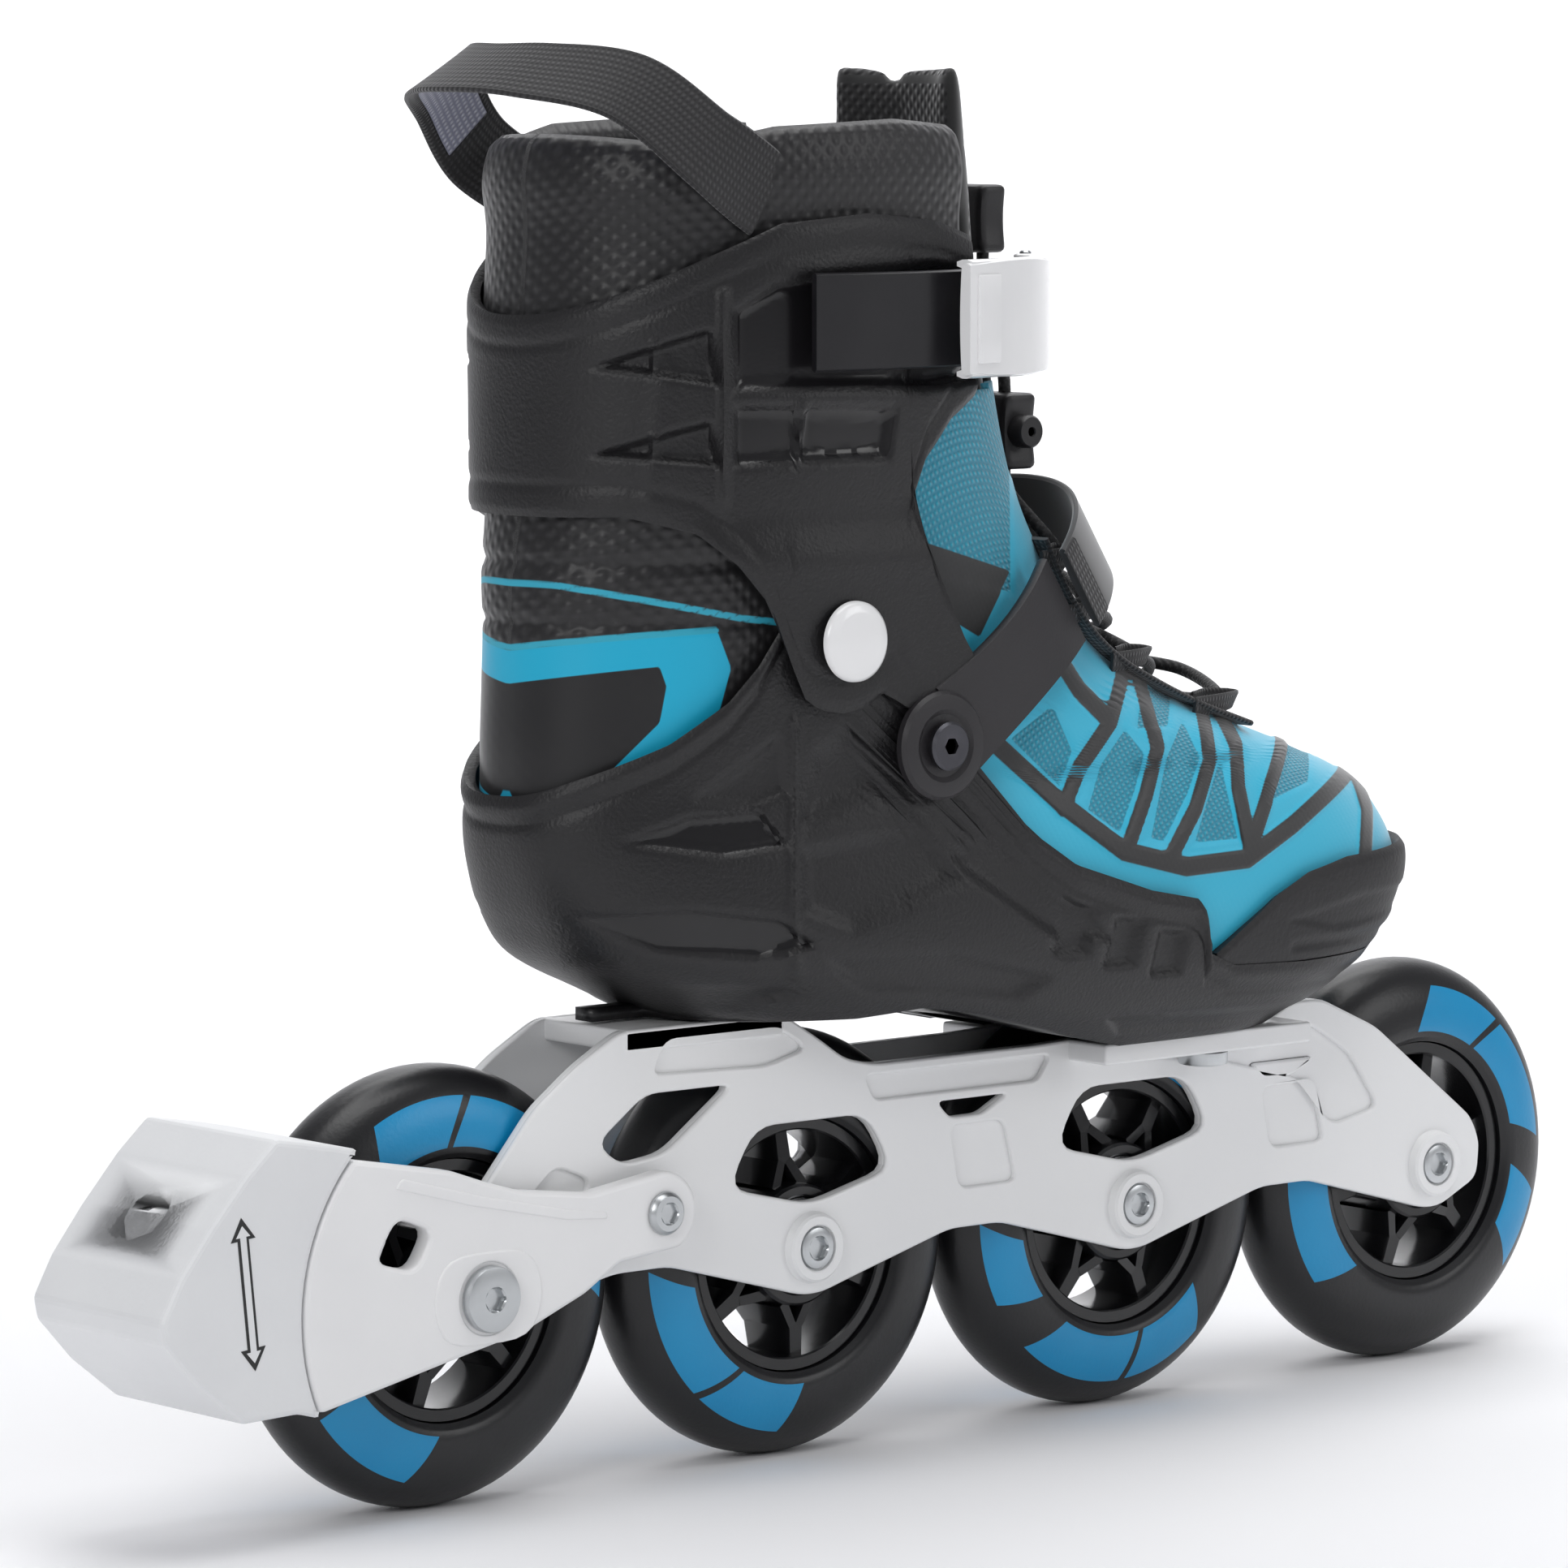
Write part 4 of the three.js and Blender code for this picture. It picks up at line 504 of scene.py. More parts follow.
def plate(name, outline, holes, y0, y1, edge=0.5):
    curve = bpy.data.curves.new(name, "CURVE")
    curve.dimensions = "2D"
    curve.fill_mode = "BOTH"
    curve.extrude = max((y1 - y0) / 2 - edge, 0.01) / 1000
    curve.bevel_depth = edge / 1000
    curve.bevel_resolution = 2
    curve.offset = -edge / 1000
    for line in [outline, *holes]:
        spline = curve.splines.new("POLY")
        spline.points.add(len(line) - 1)
        spline.use_cyclic_u = True
        for point, (x, z) in zip(spline.points, line):
            point.co = ((x - MIDDLE) / 1000, z / 1000, 0, 1)
    shape = bpy.data.objects.new(name + "_curve", curve)
    bpy.context.scene.collection.objects.link(shape)
    mesh = bpy.data.meshes.new_from_object(shape.evaluated_get(bpy.context.evaluated_depsgraph_get()))
    bpy.data.objects.remove(shape)
    for vertex in mesh.vertices:
        x, z, out = vertex.co
        vertex.co = (x, (y0 + y1) / 2000 - out, z)
    mesh.materials.clear()
    mesh.shade_smooth()
    mesh.set_sharp_from_angle(angle=math.radians(32))
    piece = bpy.data.objects.new(name, mesh)
    bpy.context.scene.collection.objects.link(piece)
    return piece


# %% [markdown]
# ## Frame
# Two pressed aluminium walls carry the wheels between them. The hollows pressed into each wall
# stiffen it, and the windows over the middle wheels save weight. Round bosses carry the axles.
# The rear strut rises to the heel mount, and two flanges carry the front of the boot.

# %% Frame walls, hollows, bosses and mounts
WALL_IN, WALL_OUT, BOSS_OUT = 13.0, 16.2, 18.6


def wall_outline():
    lower = []
    for i in (3, 2, 1):
        axle, middle = i * PITCH, (i - 0.5) * PITCH
        if i < 3:
            lower.append((axle + 12, 41.5))
        lower += [(axle + 3, 39), (axle - 3, 39), (axle - 12, 41.5), (middle + 8, 49.8), (middle - 8, 49.8)]
    corners = arc(0, 50, 11, 250, 135, 10) + [(20, 89.5), (32, 98), (43, 104), (46, 105), (93, 105),
        (103, 99), (112, 93), (121, 91)]
    corners += [(172, 91), (182, 91.4), (250, 91.4), (256, 94.4), (266, 94.4), (285, 86)] + arc(305, 50, 17,
        42, 10, 6) + [(321, 45)] + lower
    return rounded(corners, 3.0, 4)


def windows():
    holes = [rounded([(38, 80), (52, 90), (78, 90), (58, 76), (45, 74.5)], 4)]
    for i in (1, 2):
        x, middle = i * PITCH, (i + 0.5) * PITCH
        holes.append(rounded([(x - 25, 66), (x - 17, 79.5), (x + 17, 79.5), (x + 25, 66), (x, 60)], 6))
        holes.append(rounded([(middle - 12, 80.3), (middle - 8, 76.2), (middle + 2, 76.2),
            (middle + 10, 80.3)], 2))
    return holes


def hollows():
    lines = []
    for i in (1, 2):
        m = (i + 0.5) * PITCH
        lines.append(rounded([(m - 8, 74.3), (m + 9, 74.3), (m + 13, 59.3), (m - 5, 59.3)], 3))
    lines.append(rounded([(118, 88.4), (176, 88.4), (172, 82.6), (121, 82.6)], 2))
    lines.append(rounded([(222, 88.6), (262, 88.6), (276, 80), (286, 66), (270, 63), (258, 76),
        (230, 82.6)], 4))
    lines.append(rounded([(14, 66), (26, 76), (36, 72), (30, 62)], 3))
    lines.append(rounded([(100, 96.5), (92, 101.5), (58, 101.5), (54, 94.5), (88, 93.5)], 3))
    return lines


print("frame outline points", len(wall_outline()))

# %% [markdown]
# A pressed hollow is modelled as the real wall is made: the outer skin has an opening, and a
# thinner floor lies a millimetre behind it. So each wall is two plates, a full inner one and an
# outer one with the hollows cut out, whose rounded edges give the pressed look.

# %% Build both walls
frame_parts = []
for label, s in (("right", -1), ("left", 1)):
    inner, step, outer = WALL_IN * s, (WALL_OUT - 1.2) * s, WALL_OUT * s
    deep = plate(f"frame_{label}_web", wall_outline(), windows(), *sorted((inner, step)), edge=0.3)
    skin = plate(f"frame_{label}_skin", wall_outline(), windows() + hollows(),
        *sorted((step - 0.5 * s, outer)), edge=0.7)
    frame_parts += [deep, skin]
    for i in range(4):
        ring = [(4.05, 15 * s), (4.05, 17.4 * s), (5.4, 17.4 * s), (5.4, 18.4 * s), (5.7, BOSS_OUT * s),
            (7.4, BOSS_OUT * s), (8.0, 18.1 * s), (8.4, 16.2 * s), (9, 15.4 * s)]
        frame_parts.append(spin(f"frame_{label}_boss_{i}", ring, i * PITCH, WHEEL_R, sides=48))
    flange = plate(f"frame_{label}_flange", rounded([(182, 86.4), (182, 91.4), (250, 91.4), (250, 86.4)],
        1), [], *sorted((WALL_IN * s, 29 * s)), edge=0.6)
    frame_parts.append(flange)
deck = plate("frame_heel_deck", rounded([(46, 100), (46, 105), (93, 105), (93, 100)], 1), [], -WALL_OUT,
    WALL_OUT, edge=0.6)
aluminium_frame = mesh_object("aluminium_frame", [], [])
for part in [deck, *frame_parts]:
    merge_into(aluminium_frame, part)
dress(aluminium_frame, "boot", "frame_paint", frame_paint, "frame")
print("frame vertices", len(aluminium_frame.data.vertices))

# %% [markdown]
# ## Bolts
# Every bolt is cold-headed steel with a socket for a hex key. The head's edge is rounded by the die,
# and the socket's mouth has a small countersink.

# %% Socket bolts across the skate
def socket_bolt(name, x, z, face, end, head_r, head_t, shank_r, key, dome=0.3):
    s = 1 if end > face else -1
    profile = [(0.02, face + head_t * 0.75 * s, "hex"), (key, face + head_t * 0.72 * s, "hex"),
        (key, face + 0.35 * s, "hex"), (key + 0.45, face - 0.02 * s), (head_r * 0.8, face + 0.02 * s),
        (head_r - 0.25, face + dome * s), (head_r, face + (dome + 0.5) * s), (head_r, face + head_t * s),
        (shank_r, face + head_t * s), (shank_r, end - 0.5 * s), (shank_r - 0.5, end), (0.02, end)]
    return spin(name, profile, x, z, sides=48, sharp=28)


for i in range(4):
    face, end = (-18.6, 18.2) if i else (-27.0, 24.3)
    head, thick = (5.0, 2.2) if i else (7.5, 2.4)
    bolt = socket_bolt(f"axle_bolt_plated_{i + 1}", i * PITCH, WHEEL_R, face, end, head, thick, 3.6, 2.5)
    dress(bolt, "boot", "zinc_steel", zinc_steel, f"axle_bolt_{i + 1}")
    tube = [(4, -4.7), (5.9, -4.7), (6.2, -4.3), (6.2, 4.3), (5.9, 4.7), (4, 4.7)]
    dress(spin(f"spacer_tube_{i + 1}", tube, i * PITCH, WHEEL_R, sides=36), "boot", "zinc_steel",
        ground_steel, f"bearing_spacer_{i + 1}")
for label, s in (("right", -1), ("left", 1)):
    bolt = socket_bolt(f"arm_bolt_{label}", PITCH / 2, 64, 26.1 * s, 13.2 * s, 5.0, 1.5, 3.0, 2.2, dome=0.7)
    dress(bolt, "boot", "zinc_steel", zinc_steel, f"brake_bolt_{label}")

# %% Upright bolts that hold the frame to the boot
def upright_bolt(name, x, y, low, high):
    bolt = socket_bolt(name, 0, 0, low, high, 6, 3.2, 4, 2.6)
    for vertex in bolt.data.vertices:
        a, up, b = vertex.co
        vertex.co = ((x + (a * 1000 + MIDDLE) - MIDDLE) / 1000, (y + b * 1000) / 1000, up)
    return bolt


for name, x, y, low, high in (("mount_bolt_rear", 69.5, 0, 96.5, 110),
    ("mount_bolt_front_right", 220, -22.5, 82.9, 99.4), ("mount_bolt_front_left", 220, 22.5, 82.9, 99.4)):
    bolt = upright_bolt(name + "_plated", x, y, low, high)
    dress(bolt, "boot", "zinc_steel", zinc_steel, name)
print("mount bolts done")

# %% [markdown]
# ## Heel brake
# The arm is white moulded plastic: a cheek on each side of the rear wheel, a thinner tongue that
# slips inside the stop, and a bridge that the stop's screw clamps. A rounded window lightens each
# cheek. The stop itself is a solid urethane block with a round hole for the screw.

# %% Brake arm
ARM_TOP = [(-30, 84.5), (-10, 79.5), (0, 76), (10, 73), (30, 70.5)]
ARM_LOW = [(38, 54), (28, 48), (10, 41), (-10, 37), (-30, 34)]
rear = arc(0, 50, 50.5, 137, 204, 14)
cheek_line = rounded([*arc(PITCH / 2, 64, 9.5, -60, 110, 10), *reversed(ARM_TOP[1:]), *rear,
    *reversed(ARM_LOW[:-1])], 1.2, 3)
cheek_window = rounded([(-31, 61), (-25, 70.5), (-15, 66.5), (-20, 58)], 3.5)
tongue_line = arc(0, 50, 58, 150, 178, 10) + arc(0, 50, 30, 178, 150, 8)
arm_parts = []
for label, s in (("right", -1), ("left", 1)):
    outer = sorted((18.9 * s, 24.3 * s))
    arm_parts.append(plate(f"arm_{label}", cheek_line, [cheek_window, circle(0, 50, 3.95),
        circle(PITCH / 2, 64, 3.35)], *outer, edge=1.1))
    arm_parts.append(plate(f"tongue_{label}", tongue_line, [], *sorted((18.95 * s, 21.2 * s)), edge=0.4))
    rib = rounded([(-24, 79.2), (-2, 73.2), (24, 67.4), (34, 66), (34, 64.4), (22, 65.4), (-4, 71),
        (-26, 77)], 0.8, 3)
    arm_parts.append(plate(f"arm_rib_{label}", rib, [], *sorted((23.6 * s, 24.6 * s)), edge=0.4))
    pad = rounded([(-12, 60.5), (12, 60.5), (16, 50), (12, 39.8), (-12, 39.8), (-16, 50)], 8)
    arm_parts.append(plate(f"arm_boss_{label}", pad, [circle(0, 50, 8.2)], *sorted((23.6 * s, 24.7 * s)),
        edge=0.45))
bridge_line = arc(0, 50, 58, 150, 178, 10) + arc(0, 50, 54.4, 178, 150, 8)
for low, high in ((-21.3, -3.2), (3.2, 21.3)):
    arm_parts.append(plate("bridge", bridge_line, [], low, high, edge=0.4))
brake_arm = mesh_object("moulded_brake_arm", [], [])
for part in arm_parts:
    merge_into(brake_arm, part)
dress(brake_arm, "boot", "brake_arm_plastic", white_plastic, "brake_arm")
print("brake arm box", [round(v * 1000) for v in brake_arm.dimensions])

# %% [markdown]
# The stop is drawn as its side outline, with flat facets and barely rounded edges. Its screw hole
# has a mouth that widens outwards. The hole is cut with a Boolean, and so is the room for the
# arm's tongue, which the seam hides.

# %% Brake stop, its screw and its nut
def screw_line(radius, start, end, sides=40):
    profile = [(0.02, start), (radius, start), (radius, end), (0.02, end)]
    return along_screw(spin("pin", profile, 0, 0, sides=sides))


def along_screw(piece, angle=162):
    turn = math.radians(angle)
    out = Vector((math.cos(turn), 0, math.sin(turn)))
    up = Vector((-math.sin(turn), 0, math.cos(turn)))
    for vertex in piece.data.vertices:
        a, b, c = vertex.co.x * 1000 + MIDDLE, vertex.co.y * 1000, vertex.co.z * 1000
        at = Vector((0, 0, 50)) + out * b + Vector((0, 1, 0)) * a + up * c
        vertex.co = place(*at)
    return piece


def carve(piece, tools, sharp=34):
    for tool in tools:
        cut = piece.modifiers.new("cut", "BOOLEAN")
        cut.operation = "DIFFERENCE"
        cut.solver = "EXACT"
        cut.object = tool
    graph = bpy.context.evaluated_depsgraph_get()
    mesh = bpy.data.meshes.new_from_object(piece.evaluated_get(graph))
    piece.modifiers.clear()
    piece.data = mesh
    for tool in tools:
        bpy.data.objects.remove(tool)
    mesh.shade_smooth()
    mesh.set_sharp_from_angle(angle=math.radians(sharp))


PAD_REAR = [(-36.5, 86.6), (-44, 88.5), (-58, 91), (-66, 84), (-76, 73), (-84, 63), (-89, 54), (-88, 49),
    (-79, 39), (-67, 29.5), (-52, 30), (-46.8, 30.8)]
stop_line = rounded([*arc(0, 50, 51, 205, 134, 16), *PAD_REAR[1:-1]], 1.0, 3)
stop = plate("cast_brake_stop", stop_line, [], -24.3, 24.3, edge=1.4)
room = plate("room", arc(0, 50, 58.6, 144, 184, 10) + arc(0, 50, 40, 184, 144, 10), [], -21.9, 21.9,
    edge=0.2)
mouth = along_screw(spin("mouth", [(0.02, 78), (6.3, 78), (8.6, 84), (8.6, 110), (0.02, 110)], 0, 0,
    sides=48))
carve(stop, [room, screw_line(6.3, 66, 110), mouth, screw_line(2.8, 50, 67)], 3)
dress(stop, "brake_stop", "brake_pad_rubber", stop_rubber, "brake_pad")
head = [(0.02, 69, "hex"), (2.2, 68.9, "hex"), (2.2, 69.8, "hex"), (2.7, 70.0), (4.3, 69.9), (4.9, 69.4),
    (4.9, 66.3), (2.4, 66.3), (2.4, 53.8), (0.02, 53.8)]
dress(along_screw(spin("stop_screw", head, 0, 0, sides=36)), "brake_stop", "zinc_steel", zinc_steel,
    "brake_pad_screw")
liner_ring = along_screw(spin("stop_nut_sleeve", [(5.0, 66.3), (6.2, 66.3), (6.2, 71.5), (5.9, 72),
    (5.3, 72), (5.0, 71.5)], 0, 0, sides=40))
dress(liner_ring, "brake_stop", "brake_nut", nut_plastic)
nut = plate("clamp_nut", rounded([(-5.5, 50.9), (5.5, 50.9), (5.5, 53.3), (-5.5, 53.3)], 0.5, 3), [], -4,
    4, edge=0.3)
for vertex in nut.data.vertices:
    a, b, c = vertex.co.x * 1000 + MIDDLE, vertex.co.y * 1000, vertex.co.z * 1000
    turn = math.radians(162)
    vertex.co = place(c * math.cos(turn) - b * math.sin(turn), a,
        50 + c * math.sin(turn) + b * math.cos(turn))
dress(nut, "brake_stop", "brake_nut", nut_plastic, "brake_pad_nut")


def arrow(half_shaft, half_head, half_length, neck):
    """A double arrow along z, as the side of the stop shows which way it adjusts."""
    right = [(half_shaft, -neck), (half_shaft, neck), (half_head, neck), (0, half_length)]
    points = [(0, -half_length), (half_head, -neck), *right, (-half_head, neck), (-half_shaft, neck),
        (-half_shaft, -neck), (-half_head, -neck)]
    lean = math.radians(6)
    return [(-66 + a * math.cos(lean) - b * math.sin(lean),
        58 + a * math.sin(lean) + b * math.cos(lean)) for a, b in points]


arrow_print = moulded("black pad print", "#1b1b1c", "#262627", 0.5, 1.0, 0.03)
outline_print = plate("arrow_print", arrow(1.5, 3.3, 17.0, 12.0), [], -24.42, -24.2, edge=0.02)
dress(outline_print, "brake_stop", "brake_pad_rubber", arrow_print)
middle_print = plate("arrow_middle", arrow(0.8, 1.9, 15.2, 12.7), [], -24.5, -24.3, edge=0.02)
dress(middle_print, "brake_stop", "brake_pad_rubber", stop_rubber)
print("brake stop box", [round(v * 1000) for v in stop.dimensions])
# %% [markdown]
# ## The boot's form
# A boot is built over a last, a solid form of the foot. Here the last is a table of level outlines:
# for each height, where the heel and the toe are, where the boot is widest, how wide, and how square
# the outline is. Every shell, panel, strap and seam is laid on this one form at its own distance,
# so that the layers follow each other as they do on the real boot. The functions take whole arrays
# of points at once, because a wall has tens of thousands of them.

# %% The last
LAST = np.array([
    [88, 96, 246, 190, 27, 2.5], [100, 78, 266, 198, 40, 2.6], [110, 60, 277, 202, 45, 2.7],
    [120, 40, 283, 203, 47, 2.8],
    [130, 32, 285, 202, 47.5, 2.8], [140, 27.5, 282, 195, 46.5, 2.7], [150, 25, 273, 182, 44.5, 2.6],
    [160, 25, 250, 160, 42, 2.5],
    [170, 25, 222, 138, 41, 2.4], [182, 25.5, 198, 118, 40, 2.3], [195, 26, 185, 106, 40, 2.2],
    [208, 26.5, 176, 99, 40.5, 2.2],
    [222, 29, 167, 95, 42.5, 2.2], [245, 30, 159, 93, 44, 2.2], [270, 30, 155, 92, 44, 2.2],
    [300, 33, 151, 91, 43, 2.2], [324, 36, 148, 91, 42, 2.2],
])


def last_at(column, z):
    z = np.clip(np.asarray(z, float), LAST[0, 0], LAST[-1, 0])
    i = np.clip(np.searchsorted(LAST[:, 0], z, side="right") - 1, 0, len(LAST) - 2)
    a, b, c, d = (LAST[np.clip(i + k, 0, len(LAST) - 1)] for k in (-1, 0, 1, 2))
    span = c[..., 0] - b[..., 0]
    t = (z - b[..., 0]) / span
    slope_b = (c[..., column] - a[..., column]) / (c[..., 0] - a[..., 0]) * span
    slope_c = (d[..., column] - b[..., column]) / (d[..., 0] - b[..., 0]) * span
    rise = c[..., column] - b[..., column]
    leaving = (slope_b - rise) * t * (1 - t) ** 2
    return b[..., column] + rise * t + leaving + (rise - slope_c) * t * t * (1 - t)


def last_front(z, lift):
    return last_at(2, z - np.maximum(lift, -7) * 0.8) + lift * 0.8


def last_point(angle, z, lift):
    c, s = np.cos(angle), np.sin(angle)
    middle = last_at(3, z)
    reach = np.where(c > 0, last_front(z, lift) - middle, middle - (last_at(1, z) - lift))
    power = 2 / last_at(5, z)
    x = middle + reach * np.copysign(np.abs(c) ** power, c)
    y = (last_at(4, z) + lift) * np.copysign(np.abs(s) ** power, s)
    return np.stack([x, y, z + 0 * x], -1)


def last_side(x, z, lift):
    """How far out the form is at a point of its side view."""
    middle = last_at(3, z)
    reach = np.where(x > middle, last_front(z, lift) - middle, middle - (last_at(1, z) - lift))
    share = np.clip(np.abs(x - middle) / np.maximum(reach, 1), 0, 1)
    square = last_at(5, z)
    return (last_at(4, z) + lift) * (1 - share**square) ** (1 / square)


def line_at(line, x):
    xs, zs = zip(*line)
    return np.interp(x, xs, zs)


print("widest half width", LAST[:, 4].max(), "mm")

# %% [markdown]
# ## Distances to drawn lines
# The shells are covered with shallow scoops, ribs and steps, and the fabric with panels, printed
# webs and piping. Each is drawn once, as an outline or a line of the side view. For every point of
# a surface, the distance to that line tells the shape how deep to go and the material which finish
# to show. A distance blends smoothly from point to point, so an edge stays crisp on a coarser mesh.

# %% Signed distance to outlines and lines
def segments_distance(line, x, z, closed):
    best = np.full(np.shape(x), 1e9)
    within = np.zeros(np.shape(x), bool)
    ends = line[1:] + (line[:1] if closed else [])
    for (ax, az), (bx, bz) in zip(line, ends):
        dx, dz = bx - ax, bz - az
        t = np.clip(((x - ax) * dx + (z - az) * dz) / max(dx * dx + dz * dz, 1e-9), 0, 1)
        best = np.minimum(best, np.hypot(x - ax - t * dx, z - az - t * dz))
        if closed and az != bz:
            within ^= ((az > z) != (bz > z)) & (x < ax + (z - az) / (bz - az) * dx)
    return best, within


def inside(outline, x, z):
    """Distance to an outline's edge, positive inside it."""
    best, within = segments_distance(outline, x, z, True)
    return np.where(within, best, -best)


def off_line(line, x, z, half_width):
    """Positive within half_width of an open line."""
    return half_width - segments_distance(line, x, z, False)[0]


def relief(x, z, features):
    total = np.zeros(np.shape(x))
    for outline, depth, slope in features:
        t = np.clip(inside(outline, x, z) / (1.5 * slope) + 0.5, 0, 1)
        total += depth * t * t * (3 - 2 * t)
    return total


def mark(piece, name, values):
    """Stores one number for each point of a piece, for its material to read."""
    store = piece.data.attributes.new(name, "FLOAT", "POINT")
    store.data.foreach_set("value", np.asarray(values, np.float32))


def side_view(piece, plane=0.0):
    """Each point's place in the side view. Over the toes and round the heel the view is slanted
    forwards by plane millimetres' depth, as a printed web is when it wraps over the foot."""
    at = np.empty(len(piece.data.vertices) * 3)
    piece.data.vertices.foreach_get("co", at)
    x, y, z = (at.reshape(-1, 3) * 1000).T
    depth = plane - np.abs(y) if plane else 0 * y
    return x + MIDDLE - depth * 0.855, z + depth * 0.129, y


# %% [markdown]
# ## Walls wrapped round the last
# The shell and the cuff are thin walls. A grid is wrapped round the form: columns go round the foot,
# rows go from the lower edge to the upper edge, and both edges are lines of the side view. The
# Solidify modifier then gives the wall its thickness, towards the foot, and Bevel rounds its rim.

# %% Wrap a wall
def grid_faces(columns, rows, closed):
    last = columns if closed else columns - 1
    return [(i * rows + k, (i + 1) % columns * rows + k, (i + 1) % columns * rows + k + 1,
        i * rows + k + 1) for i in range(last) for k in range(rows - 1)]


def wrap(name, angles, shares, low, high, lift, thickness, closed):
    angle, share = np.meshgrid(angles, shares, indexing="ij")
    z = np.full(angle.shape, 150.0)
    for _ in range(14):
        x = last_point(angle, z, 4.0 + 0 * z)[..., 0]
        z = low(x) * (1 - share) + high(x) * share
    x = last_point(angle, z, 4.0 + 0 * z)[..., 0]
    points = last_point(angle, z, lift(x, z, np.sin(angle)))
    piece = mesh_object(name, [place(*p) for p in points.reshape(-1, 3)],
        grid_faces(len(angles), len(shares), closed), 60)
    middle = Vector((-0.03, 0, 0))
    if sum(f.normal.dot(f.center - middle) * f.area for f in piece.data.polygons) < 0:
        piece.data.flip_normals()
    if thickness:
        wall = piece.modifiers.new("wall", "SOLIDIFY")
        wall.thickness = thickness / 1000
        wall.offset = -1
        edge = piece.modifiers.new("edge", "BEVEL")
        edge.width = min(thickness * 0.22, 0.7) / 1000
        edge.segments = 2
        edge.limit_method = "ANGLE"
        edge.angle_limit = math.radians(50)
    return piece


def side_angles(xs, z, lift):
    """Angles of the form's columns that stand at the given places along its side."""
    middle = last_at(3, z)
    reach = np.where(xs > middle, last_front(z, lift) - middle, middle - (last_at(1, z) - lift))
    u = np.clip((xs - middle) / reach, -1, 1)
    return np.arccos(np.copysign(np.abs(u) ** (last_at(5, z) / 2), u))


# %% [markdown]
# ## Shell
# The lower shell is injection-moulded polypropylene with a leather-like grain. Its rim rolls
# outwards as a smooth lip, its side carries glossy scooped facets that look like muscle, and an
# ear on each side carries the cuff's pivot. Towards the toe it steps down to the sole.

# %% Shell outline and relief
SHELL_RIM = [(-10, 155), (8, 155), (16, 156), (28, 163), (46, 171), (59, 180), (66, 188), (71.5, 197),
    (76, 204.5), (81.5, 208.2), (87, 209), (92.5, 208.2), (98, 204.5), (102.2, 198), (105, 191), (112, 181),
    (124, 165), (131, 156), (141, 146), (153, 138), (176, 130.5), (191, 127.5), (194, 124), (196.5, 114),
    (205, 110.5), (230, 109.4), (300, 109.4)]
SOLE = [(-10, 112), (10, 112), (34, 109), (46, 105.3), (97, 105.3), (113, 107), (132, 104), (150, 99.5),
    (166, 95), (182, 91.7), (242, 91.7), (256, 96), (268, 102), (282, 109), (300, 109.2)]
POLISHED = [
    ([(22, 151.5), (40, 155.5), (60, 155.5), (68, 148), (50, 147)], -1.7, 2.0),
    ([(8, 135.5), (40, 134.5), (66, 130.5), (76, 125), (60, 123.5), (30, 127)], -1.7, 2.0),
]
SHELL_RELIEF = POLISHED + [
    ([(73, 152), (96, 160), (104, 174), (97, 177), (78, 168)], -1.1, 2.4),
    ([(74, 146), (108, 149), (120, 137), (88, 128), (74, 133)], -1.1, 2.4),
    ([(126, 151), (118, 141), (150, 122), (168, 120), (150, 133)], -1.1, 2.6),
    ([(82, 120), (118, 119), (148, 112), (138, 108), (90, 114)], -1.0, 2.4),
    ([(24, 117.5), (52, 116.5), (76, 114.5), (52, 111.8), (30, 113.5)], -1.4, 1.6),
    ([(70.4, 112), (71.6, 112), (71.6, 176), (70.4, 176)], 0.8, 1.6),
    ([(42, 160), (66, 172), (68, 160), (58, 157)], -0.9, 2.2),
    ([(150, 117), (160, 117), (163, 127), (154, 129)], -1.1, 1.8),
    ([(166, 113), (175, 113), (178, 123), (170, 124)], -1.1, 1.8),
    ([(181, 110), (190, 110), (192, 119), (184, 120)], -1.1, 1.8),
    ([(168, 100), (244, 98), (240, 94.5), (172, 96.5)], -1.2, 1.8),
]


def slanted(x, z, plane=46.0):
    depth = plane - last_side(x, z, 4.0)
    return x - depth * 0.855, z + depth * 0.129


def shell_lift(x, z, side):
    depth = line_at(SHELL_RIM, x) - z
    lip = 0.9 * np.exp(-(((depth - 2.6) / 2.2) ** 2)) - 0.5 * np.exp(-(((depth - 6.4) / 1.2) ** 2))
    detail = np.maximum(1.75 * relief(*slanted(x, z), SHELL_RELIEF), -2.1) * np.minimum(np.abs(side) * 1.6,
        1)
    under = np.maximum(0.0, 5.0 - (z - line_at(SOLE, x))) * 0.25
    return 3.6 + lip + detail - under


shell_xs = np.concatenate([np.linspace(20, 64, 36), np.linspace(65, 108, 44), np.linspace(109, 190, 60),
    np.linspace(191, 197, 9), np.linspace(199, 262, 30)])
half = [a for a in side_angles(shell_xs, 130.0, 4.0) if a < math.pi - 0.42]
half = list(np.linspace(math.pi, half[0] + 0.02, 12)) + half + list(np.linspace(half[-1] - 0.05, 0.0, 12))
around = half + [-a for a in reversed(half[1:-1])]
shell_shares = np.concatenate([np.linspace(0, 0.86, 50)[:-1], np.linspace(0.86, 1, 14)])
moulded_shell = wrap("moulded_shell", around, shell_shares, lambda x: line_at(SOLE, x),
    lambda x: line_at(SHELL_RIM, x), shell_lift, 2.8, True)
x, z, y = side_view(moulded_shell, plane=46.0)
mark(moulded_shell, "polish", np.max([inside(line, x, z) for line, _, _ in POLISHED], axis=0))
dress(moulded_shell, "boot", "shell_plastic", shell_plastic, "shell")
print("shell points", len(moulded_shell.data.vertices))

# %% [markdown]
# The underside is a flat sole plate. It has a well in the middle, because the third wheel rises
# into it.

